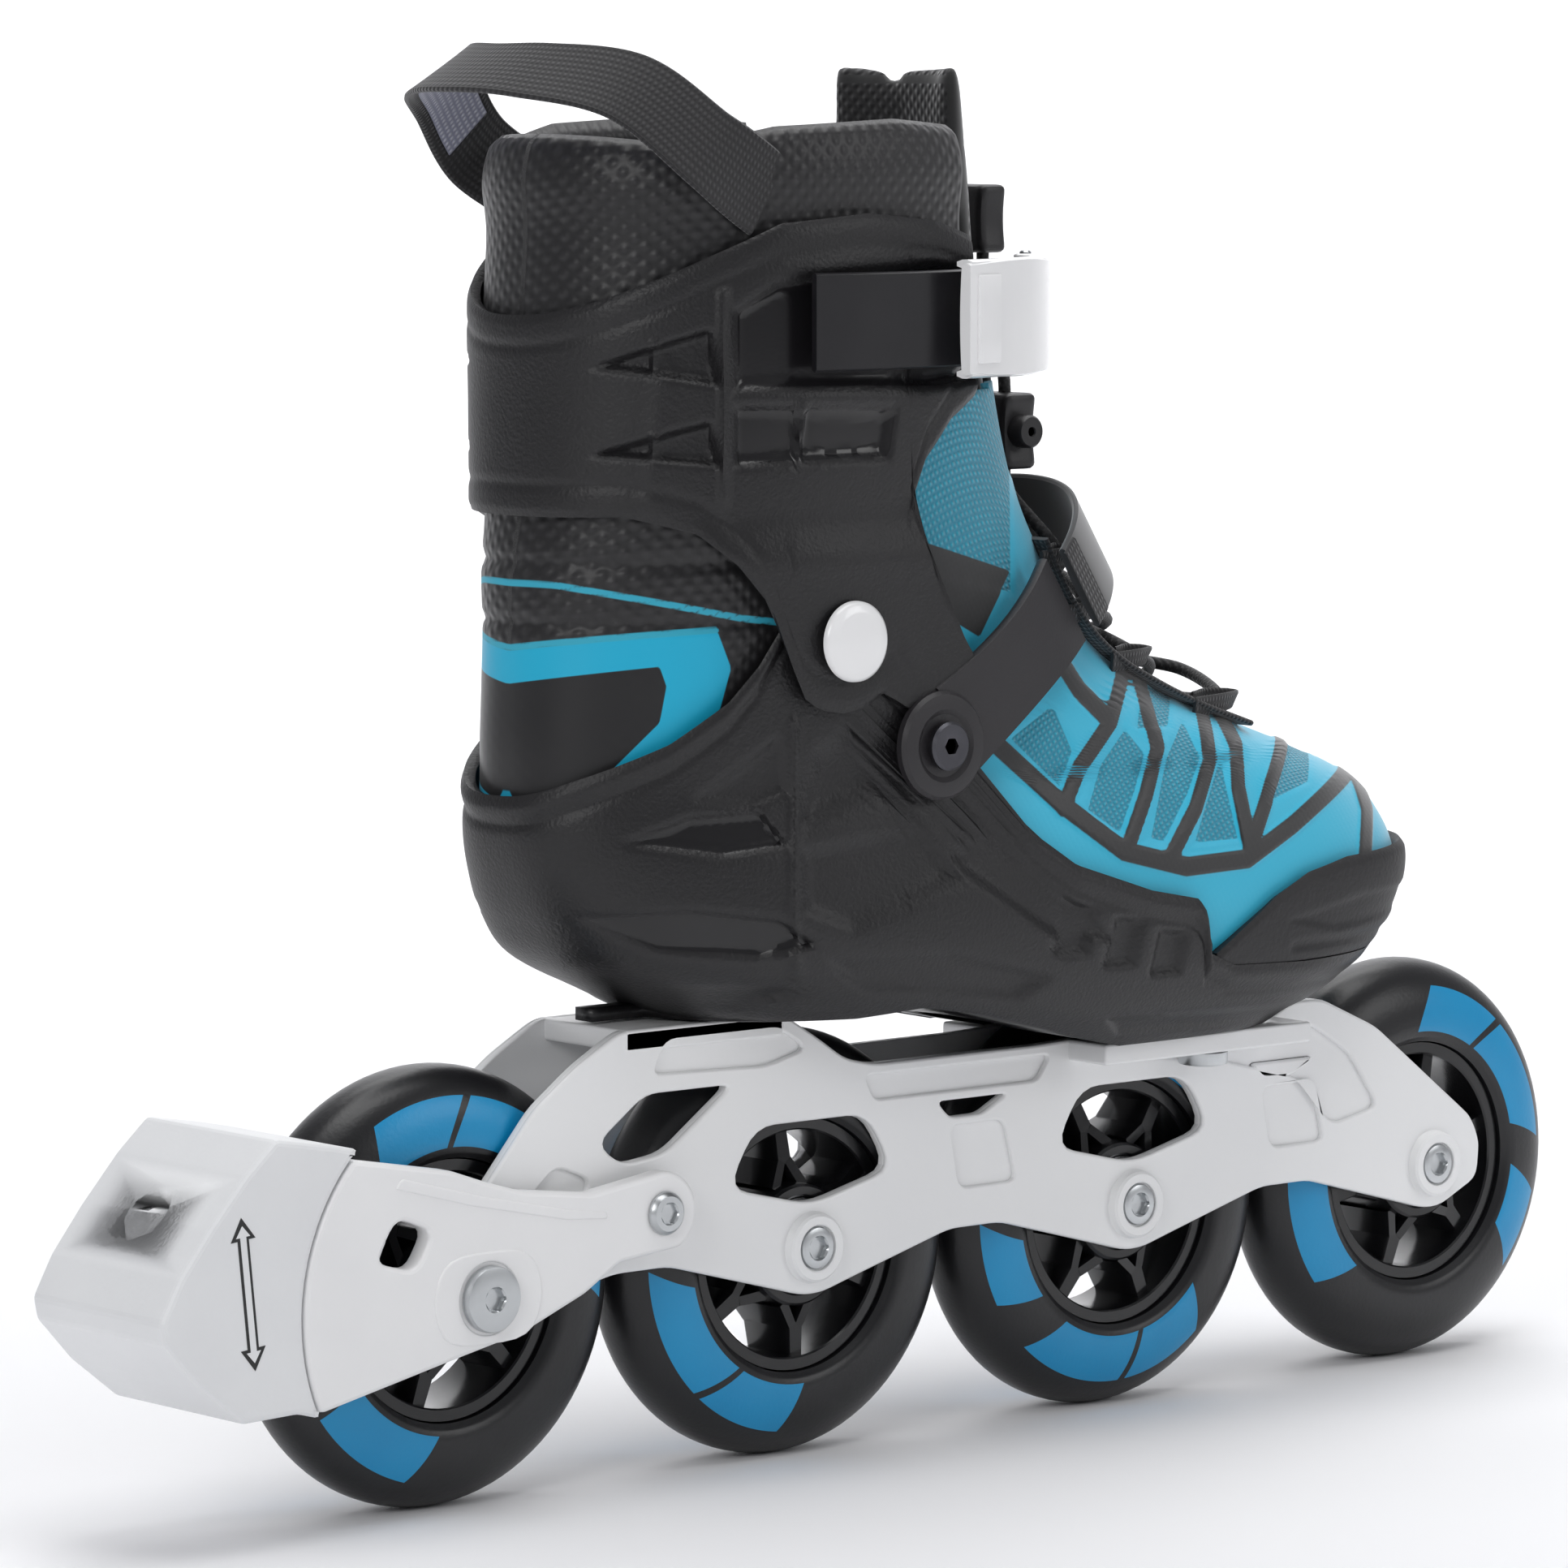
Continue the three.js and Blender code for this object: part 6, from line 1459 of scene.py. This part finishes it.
def sweep(name, points, section, count, across=None, sharp=40, ends=True, edge=None):
    """section is a ring of (across, out) in mm; across gives the width's direction at a share."""
    path, length = spline([np.array(p, float) for p in points], count)
    tangent = np.gradient(path, axis=0)
    tangent /= np.linalg.norm(tangent, axis=1, keepdims=True)
    rings, frames = [], []
    wide = np.array([0.0, 1.0, 0.0])
    for i, t in enumerate(tangent):
        if across is not None:
            wide = np.array(across(i / (count - 1)), float)
        wide = wide - t * wide.dot(t)
        wide /= np.linalg.norm(wide)
        frames.append((path[i], wide, np.cross(wide, t)))
    verts, faces, uvs = [], [], []
    n = len(section)
    girth = np.concatenate([[0],
        np.cumsum([math.dist(section[k], section[(k + 1) % n]) for k in range(n)])])
    for i, (at, w, out) in enumerate(frames):
        share = i / (count - 1)
        shape = edge(share) if edge else 1.0
        for a, o in section:
            verts.append(place(*(at + w * a * shape + out * o)))
    for i in range(count - 1):
        for k in range(n):
            faces.append((i * n + k, i * n + (k + 1) % n, (i + 1) * n + (k + 1) % n, (i + 1) * n + k))
            u0, u1 = length * i / (count - 1) / 1000, length * (i + 1) / (count - 1) / 1000
            v0, v1 = girth[k] / 1000, girth[k + 1] / 1000
            uvs += [(u0, v0), (u0, v1), (u1, v1), (u1, v0)]
    if ends:
        faces += [tuple(range(n)), tuple((count - 1) * n + k for k in reversed(range(n)))]
        uvs += [(0, 0)] * (2 * n)
    piece = mesh_object(name, verts, faces, sharp)
    layer = piece.data.uv_layers.new(name="along")
    for loop, uv in zip(layer.data, uvs):
        loop.uv = uv
    fixed = bmesh.new()
    fixed.from_mesh(piece.data)
    bmesh.ops.recalc_face_normals(fixed, faces=fixed.faces)
    fixed.to_mesh(piece.data)
    fixed.free()
    return piece, length


def flat_section(width, thickness, rows=5, crown=0.0):
    """A flat strap's section, thinner at its woven or moulded edges."""
    half, t = width / 2, thickness / 2
    ys = [-half + 0.5 + (width - 1) * k / rows for k in range(rows + 1)]
    top = [(y, t + crown * (1 - (y / half) ** 2)) for y in ys]
    under = [(y, -t) for y in reversed(ys)]
    return [(-half, 0.3 * t), *top, (half, 0.3 * t), (half, -0.3 * t), *under, (-half, -0.3 * t)]


def round_section(radius, sides=12):
    return [(radius * math.cos(2 * math.pi * k / sides),
        radius * math.sin(2 * math.pi * k / sides)) for k in range(sides)]


def at_last(degrees, z, lift):
    return last_point(np.float64(math.radians(degrees)), np.float64(z), np.float64(lift))


# %% [markdown]
# ## Pull loop
# A webbing loop sewn to both sides of the collar stands up above the heel, to pull the boot on.
# It is black outside, and silver-grey with a black edge inside.

# %% Pull loop
foot = at_last(112, 293, 1.4)
half = [foot, (50, foot[1] + 0.6, 303), (34, 33, 317), (20, 16, 321)]
loop_line = [*half, (16, 0, 321.5), *[(p[0], -p[1], p[2]) for p in reversed(half)]]
lean = lambda share: (0.86, 0.0, 0.5)
pull_webbing, loop_length = sweep("pull_webbing", loop_line, flat_section(20, 1.4, 8), 120, lean)
dress(pull_webbing, "ankle_cuff", "webbing", webbing, "pull_loop")
inner_at = spline([np.array(p, float) for p in loop_line], 40)[0]
centre = np.array([60.0, 0.0, 290.0])
tape_line = [p + (centre - p) / np.linalg.norm(centre - p) * 1.0 for p in inner_at[6:-6]]
loop_tape, _ = sweep("loop_tape", tape_line, flat_section(14, 0.3, 6), 90, lean)
dress(loop_tape, "ankle_cuff", "webbing", loop_inside)
print("pull loop", round(loop_length), "mm of webbing")

# %% [markdown]
# ## Instep strap
# Two moulded plates rise from screws on the shell and meet a padded strap over the instep. The
# strap follows a plane that slopes up to the heel, and closes by hook and loop.

# %% Instep plates, screws and strap
INSTEP = (113.0, 168.0)
SLOPE = 0.64
up_slope = lambda share: (-SLOPE, 0.0, 1.0)


def instep_at(degrees, lift):
    low, high = 120.0, 235.0
    for _ in range(24):
        z = (low + high) / 2
        if z - INSTEP[1] - SLOPE * (at_last(degrees, z, lift)[0] - INSTEP[0]) > 0:
            high = z
        else:
            low = z
    return at_last(degrees, (low + high) / 2, lift)


instep_half = float(at_last(90, INSTEP[1], 0)[1])
grained_plate = moulded("moulded nylon plate", "#201e21", "#2b292c", 0.46, 0.8, 0.16)
for side, word in ((-1, "right"), (1, "left")):
    line = [instep_at(side * (96 - 44 * k / 5), 6.0) for k in range(6)]
    waist = lambda share: 1.0 - 0.1 * math.sin(math.pi * share)
    arm, _ = sweep("instep_arm_" + word, line, flat_section(24, 2.6, 8, 0.35), 40, up_slope, edge=waist)
    eye_profile = [(0.0, 0), (12.5, 0), (12.5, 1.6), (11.7, 2.5), (9.4, 2.9), (8.4, 2.9), (7.2, 2.1),
        (0.0, 2.1)]
    eye = spin("instep_eye_" + word, [(r, side * (instep_half + 5.6 + h)) for r, h in eye_profile[1:]],
        INSTEP[0], INSTEP[1], 48, 30, False)
    dress(eye, "boot", "shell_plastic", grained_plate)
    dress(arm, "boot", "shell_plastic", grained_plate, "instep_plate_" + word)
    head = [(5.6, 0), (5.6, 1.0), (5.0, 1.6), (2.4, 1.6), ("hex", 1.8, 1.5), ("hex", 1.8, 0.7)]
    face = instep_half + 8.9
    rings = [(r[0], side * (face + r[1])) if len(r) == 2 else (r[1], side * (face + r[2]),
        "hex") for r in head]
    bolt = spin("instep_bolt_" + word, rings, INSTEP[0], INSTEP[1], 32, 30, False)
    dress(bolt, "boot", "screw_black", black_steel, "instep_screw_" + word)
pad_line = [instep_at(-49 + 98 * k / 10, 9.4 + 3.4 * math.sin(math.pi * k / 10)) for k in range(11)]
instep_band, strap_length = sweep("instep_band", pad_line, flat_section(22, 1.5, 10, 0.5), 90, up_slope)
dress(instep_band, "boot", "webbing", suede, "instep_strap")
for name, share in (("instep_hem_right", -1), ("instep_hem_left", 1)):
    hem_line = [instep_at(share * (50 - 6 * k / 3), 9.6 + 0.9 * k / 3 + 0.4) for k in range(4)]
    hem, _ = sweep(name, hem_line, flat_section(20.5, 0.9, 6), 14, up_slope)
    dress(hem, "boot", "webbing", webbing)
print("instep strap", round(strap_length), "mm")

# %% [markdown]
# ## Laces
# The lace is a round braided cord 3 mm thick. It zigzags between webbing loops, goes through the
# spring lock and ends in a moulded puller. Its points are those of the CAD route.

# %% Loops, lace, lock and puller
ROWS = [170, 182, 194, 207]


def throat_edge(z, lift, y):
    low, high = 0.02, 1.4
    for _ in range(24):
        angle = (low + high) / 2
        if last_point(np.float64(angle), np.float64(z), np.float64(lift))[1] > y:
            high = angle
        else:
            low = angle
    return last_point(np.float64((low + high) / 2), np.float64(z), np.float64(lift))


for side, word in ((-1, "right"), (1, "left")):
    line = []
    for k in range(9):
        at = throat_edge(165 + 47 * k / 8, 1.8, 26)
        line.append((at[0], side * at[1], 165 + 47 * k / 8))
    stay, _ = sweep("lace_strip_" + word, line, flat_section(7, 1.3, 4), 50, lambda share: (0, 1, 0))
    dress(stay, "boot", "webbing", webbing, "lace_stay_" + word)
    for number, z in enumerate(ROWS):
        outer = throat_edge(z, 1.8, 29)
        top = throat_edge(z + 0.5, 5.6, 21.2)
        under = throat_edge(z + 1, 1.6, 24)
        mid = throat_edge(z + 0.3, 4.6, 26)
        mouth = throat_edge(z + 1, 3.0, 20.0)
        ring = [(p[0], side * p[1], p[2]) for p in (outer, mid, top, mouth, under)]
        loop, _ = sweep(f"lace_loop_{word}_{number + 1}", ring, flat_section(4.6, 0.9, 4), 30,
            lambda share: (0.5, 0, 0.87))
        dress(loop, "boot", "webbing", webbing)

above = [(165.4, 284), (165.4, 274), (165.8, 265), (171.9, 250), (172.5, 243), (172.5, 236), (172.5, 227),
    (172.8, 223)]


def at_row(row, side, lift=4.4):
    spot = throat_edge(ROWS[row] + 0.5, lift, 16.4)
    return (spot[0], side * 16.4, spot[2])


def between(row, lift):
    return throat_edge((ROWS[row] + ROWS[row + 1]) / 2, lift, 0.01)


route = [(x, -3.4, z) for x, z in above]
side = -1
for row in (3, 2, 1):
    route += [at_row(row, side), between(row - 1, 6.0)]
    side = -side
route += [at_row(0, side), at_row(0, -side)]
side = -side
for row in (0, 1, 2):
    if row > 0:
        route.append(at_row(row, side))
    route.append(between(row, 9.8))
    side = -side
route.append(at_row(3, side))
route += [(x, 3.4, z) for x, z in reversed(above)]
braided_lace, lace_length = sweep("braided_lace", route, round_section(1.5, 10), 420)
dress(braided_lace, "boot", "lace_cord", lace_braid, "lace")
print("lace", round(lace_length), "mm on the outside")


def moulding(name, low, high, round_mm, material, body, slot, node, hollow=None):
    """A moulded block: its corners rounded, its middle drawn in, its holes cut."""
    box = bmesh.new()
    bmesh.ops.create_cube(box, size=1.0)
    centre = [(a + b) / 2 for a, b in zip(low, high)]
    for v in box.verts:
        v.co = Vector([c + v.co[i] * (high[i] - low[i]) for i, c in enumerate(centre)])
    bmesh.ops.bevel(box, geom=list(box.edges), offset=round_mm, segments=4, profile=0.6, affect="EDGES")
    bmesh.ops.subdivide_edges(box, edges=[e for e in box.edges if e.calc_length() > 4], cuts=6,
        use_grid_fill=True)
    for v in box.verts:
        share = (v.co[2] - centre[2]) / max(high[2] - low[2], 1e-6) * 2
        v.co[1] = centre[1] + (v.co[1] - centre[1]) * (1 - 0.12 * (1 - share * share))
        v.co = place(*v.co)
    mesh = bpy.data.meshes.new(name)
    box.to_mesh(mesh)
    box.free()
    piece = bpy.data.objects.new(name, mesh)
    bpy.context.scene.collection.objects.link(piece)
    mesh.shade_smooth()
    for x0, y0, radius, z0, z1 in hollow or []:
        bpy.ops.mesh.primitive_cylinder_add(vertices=24, radius=radius / 1000, depth=(z1 - z0) / 1000,
            location=place(x0, y0, (z0 + z1) / 2))
        tool = bpy.context.object
        carve(piece, [tool])
    dress(piece, body, slot, material, node)
    return piece


small_plastic = moulded("moulded acetal", "#1d1c1e", "#29282a", 0.42, 0.6, 0.1)
cord_holes = [(172.5, s * 3.4, 1.95, 200, 270) for s in (-1, 1)]
moulding("spring_lock", (167.5, -10, 227), (177.5, 10, 245), 2.4, small_plastic, "lock",
    "lock_plastic", "lace_lock", cord_holes)
button_rings = [(3.9, -8.6), (3.9, -12.4), (3.4, -13.0), (1.2, -13.0), (1.0, -12.6)]
lock_key = spin("lock_key", button_rings, 172.5, 236.0, 32, 40, False)
dress(lock_key, "button", "lock_plastic", small_plastic, "lace_lock_button")
puller_holes = [(165.4, s * 3.4, 1.95, 260, 284.6) for s in (-1, 1)]
moulding("cord_puller", (161.4, -8, 278), (169.4, 8, 294), 2.2, small_plastic, "boot",
    "lock_plastic", "lace_puller", puller_holes)
print("lock, button and puller ready")

# %% [markdown]
# ## Cuff buckle
# A toothed strap from the left side runs round the shin into a ratchet buckle on the right. The
# strap is moulded polyurethane, so its teeth are small ramps with one steep side, which the sprung
# pawl catches. The white lever lifts on its pin to draw the strap in, tooth by tooth.

# %% Toothed strap and ratchet buckle
STRAP_Z = 265.0
STRAP_LIFT = 5.4  # the toothed strap's middle above the last
BASE_LIFT = 7.4  # the buckle plate's
PIN_LIFT = 10.4  # the lever's pin and the pawl's pivot
LEVER_LIFT = 14.5
LEVER_HALF = 12.4  # middle of the lever to the middle of a flank
EAR_HALF = 9.8  # middle of the buckle plate to the middle of an ear
CAP_ANGLE = 82
LEVER_FRONT = -27  # degrees from the toe, at the lever's hinge
PAWL_ANGLE = -46
upright = lambda share: (0.0, 0.0, 1.0)


def level_band(name, start, end, lift, section, count, rise=0.0, edge=None):
    line = [at_last(start + (end - start) * k / 8, STRAP_Z,
        lift) + np.array([0, 0, rise]) for k in range(9)]
    return sweep(name, line, section, count, upright, edge=edge)


toothed, strap_mm = level_band("toothed_strap", -70, 88, STRAP_LIFT, flat_section(20, 1.6, 6), 200)
dress(toothed, "ankle_cuff", "strap_plastic", strap_plastic, "ladder_strap")
teeth = []
for number in range(26):
    at = -66 + number * 3.1
    tooth_line = [at_last(at + 2.6 * k / 3, STRAP_Z,
        STRAP_LIFT + 0.5 + 0.75 * (k / 3) ** 1.5) for k in range(4)]
    tooth, _ = sweep(f"tooth_{number}", tooth_line, flat_section(11, 0.7, 2), 5, upright)
    teeth.append(tooth)
strap_teeth = teeth[0]
for tooth in teeth[1:]:
    merge_into(strap_teeth, tooth)
strap_teeth.name = "strap_teeth"
dress(strap_teeth, "ankle_cuff", "strap_plastic", strap_plastic)
fixing = at_last(CAP_ANGLE, STRAP_Z, STRAP_LIFT)
cap_rings = [(6.0, fixing[1] - 0.4), (6.0, fixing[1] + 2.6), (5.2, fixing[1] + 3.7), (3.2, fixing[1] + 4.0),
    (2.4, fixing[1] + 3.3)]
strap_cap = spin("strap_cap", cap_rings, fixing[0], STRAP_Z, 32, 40, False)
dress(strap_cap, "ankle_cuff", "strap_plastic", strap_plastic)

base_plate, _ = level_band("buckle_plate", -104, -23, BASE_LIFT, flat_section(22, 1.8, 6), 60)
dress(base_plate, "ankle_cuff", "buckle_plastic", buckle_plastic, "buckle_base")
for word, rise in (("low", -EAR_HALF), ("high", EAR_HALF)):
    cheek, _ = level_band("buckle_cheek_" + word, -34, -24, 8.6, flat_section(2, 3.0, 2), 12, rise)
    dress(cheek, "ankle_cuff", "buckle_plastic", buckle_plastic)

lever_edge = lambda share: 0.93 + 0.07 * math.sin(math.pi * min(share * 1.3, 1.0))
lever_skin, _ = level_band("lever_skin", -77, LEVER_FRONT, LEVER_LIFT, flat_section(27, 2.4, 8, 0.5), 60,
    edge=lever_edge)
dress(lever_skin, "lever", "lever_plastic", gloss_white, "buckle_lever")
for word, rise in (("low", -LEVER_HALF), ("high", LEVER_HALF)):
    flank, _ = level_band("lever_flank_" + word, -76, -28, 13.1, flat_section(2, 4.4, 2), 40, rise)
    dress(flank, "lever", "lever_plastic", gloss_white)
groove, _ = level_band("lever_grip", -75, -69, 16.0, flat_section(20, 0.8, 4), 10)
dress(groove, "lever", "lever_plastic", gloss_white)


def upright_spin(name, profile, x, y, sides, material, body, slot, *nodes):
    verts, faces = [], []
    for radius, z in profile:
        for k in range(sides):
            angle = 2 * math.pi * k / sides
            verts.append(place(x + radius * math.cos(angle), y + radius * math.sin(angle), z))
    for i in range(len(profile) - 1):
        for k in range(sides):
            faces.append((i * sides + k, i * sides + (k + 1) % sides, (i + 1) * sides + (k + 1) % sides,
                (i + 1) * sides + k))
    faces += [tuple(reversed(range(sides))), tuple((len(profile) - 1) * sides + k for k in range(sides))]
    piece = mesh_object(name, verts, faces, 40)
    dress(piece, body, slot, material, *nodes)
    return piece


pin = at_last(LEVER_FRONT, STRAP_Z, PIN_LIFT)
pin_profile = [(1.0, 250.9), (1.4, 251.3), (1.4, 278.7), (1.0, 279.1)]
upright_spin("lever_pin", pin_profile, pin[0], pin[1], 20, ground_steel, "ankle_cuff", "zinc_steel",
    "buckle_pin")
for word, middle in (("low", STRAP_Z - LEVER_HALF), ("high", STRAP_Z + LEVER_HALF)):
    eye_profile = [(2.3, middle - 1), (2.8, middle - 0.6), (2.8, middle + 0.6), (2.3, middle + 1)]
    upright_spin("lever_eye_" + word, eye_profile, pin[0], pin[1], 24, gloss_white, "lever",
        "lever_plastic")
for word, middle in (("low", STRAP_Z - EAR_HALF), ("high", STRAP_Z + EAR_HALF)):
    ear_profile = [(2.2, middle - 1), (2.6, middle - 0.6), (2.6, middle + 0.6), (2.2, middle + 1)]
    upright_spin("base_ear_" + word, ear_profile, pin[0], pin[1], 24, buckle_plastic, "ankle_cuff",
        "buckle_plastic")
pivot = at_last(PAWL_ANGLE, STRAP_Z, PIN_LIFT)
upright_spin("pawl_pivot", [(1.2, 258.0), (1.6, 258.4), (1.6, 271.6), (1.2, 272.0)], pivot[0], pivot[1], 20,
    zinc_steel, "pawl", "zinc_steel", "buckle_pawl")
nose, _ = level_band("pawl_nose", -52, -40, 10.0, flat_section(13, 1.8, 4), 16)
dress(nose, "pawl", "zinc_steel", zinc_steel)
print("buckle ready; toothed strap", round(strap_mm), "mm")
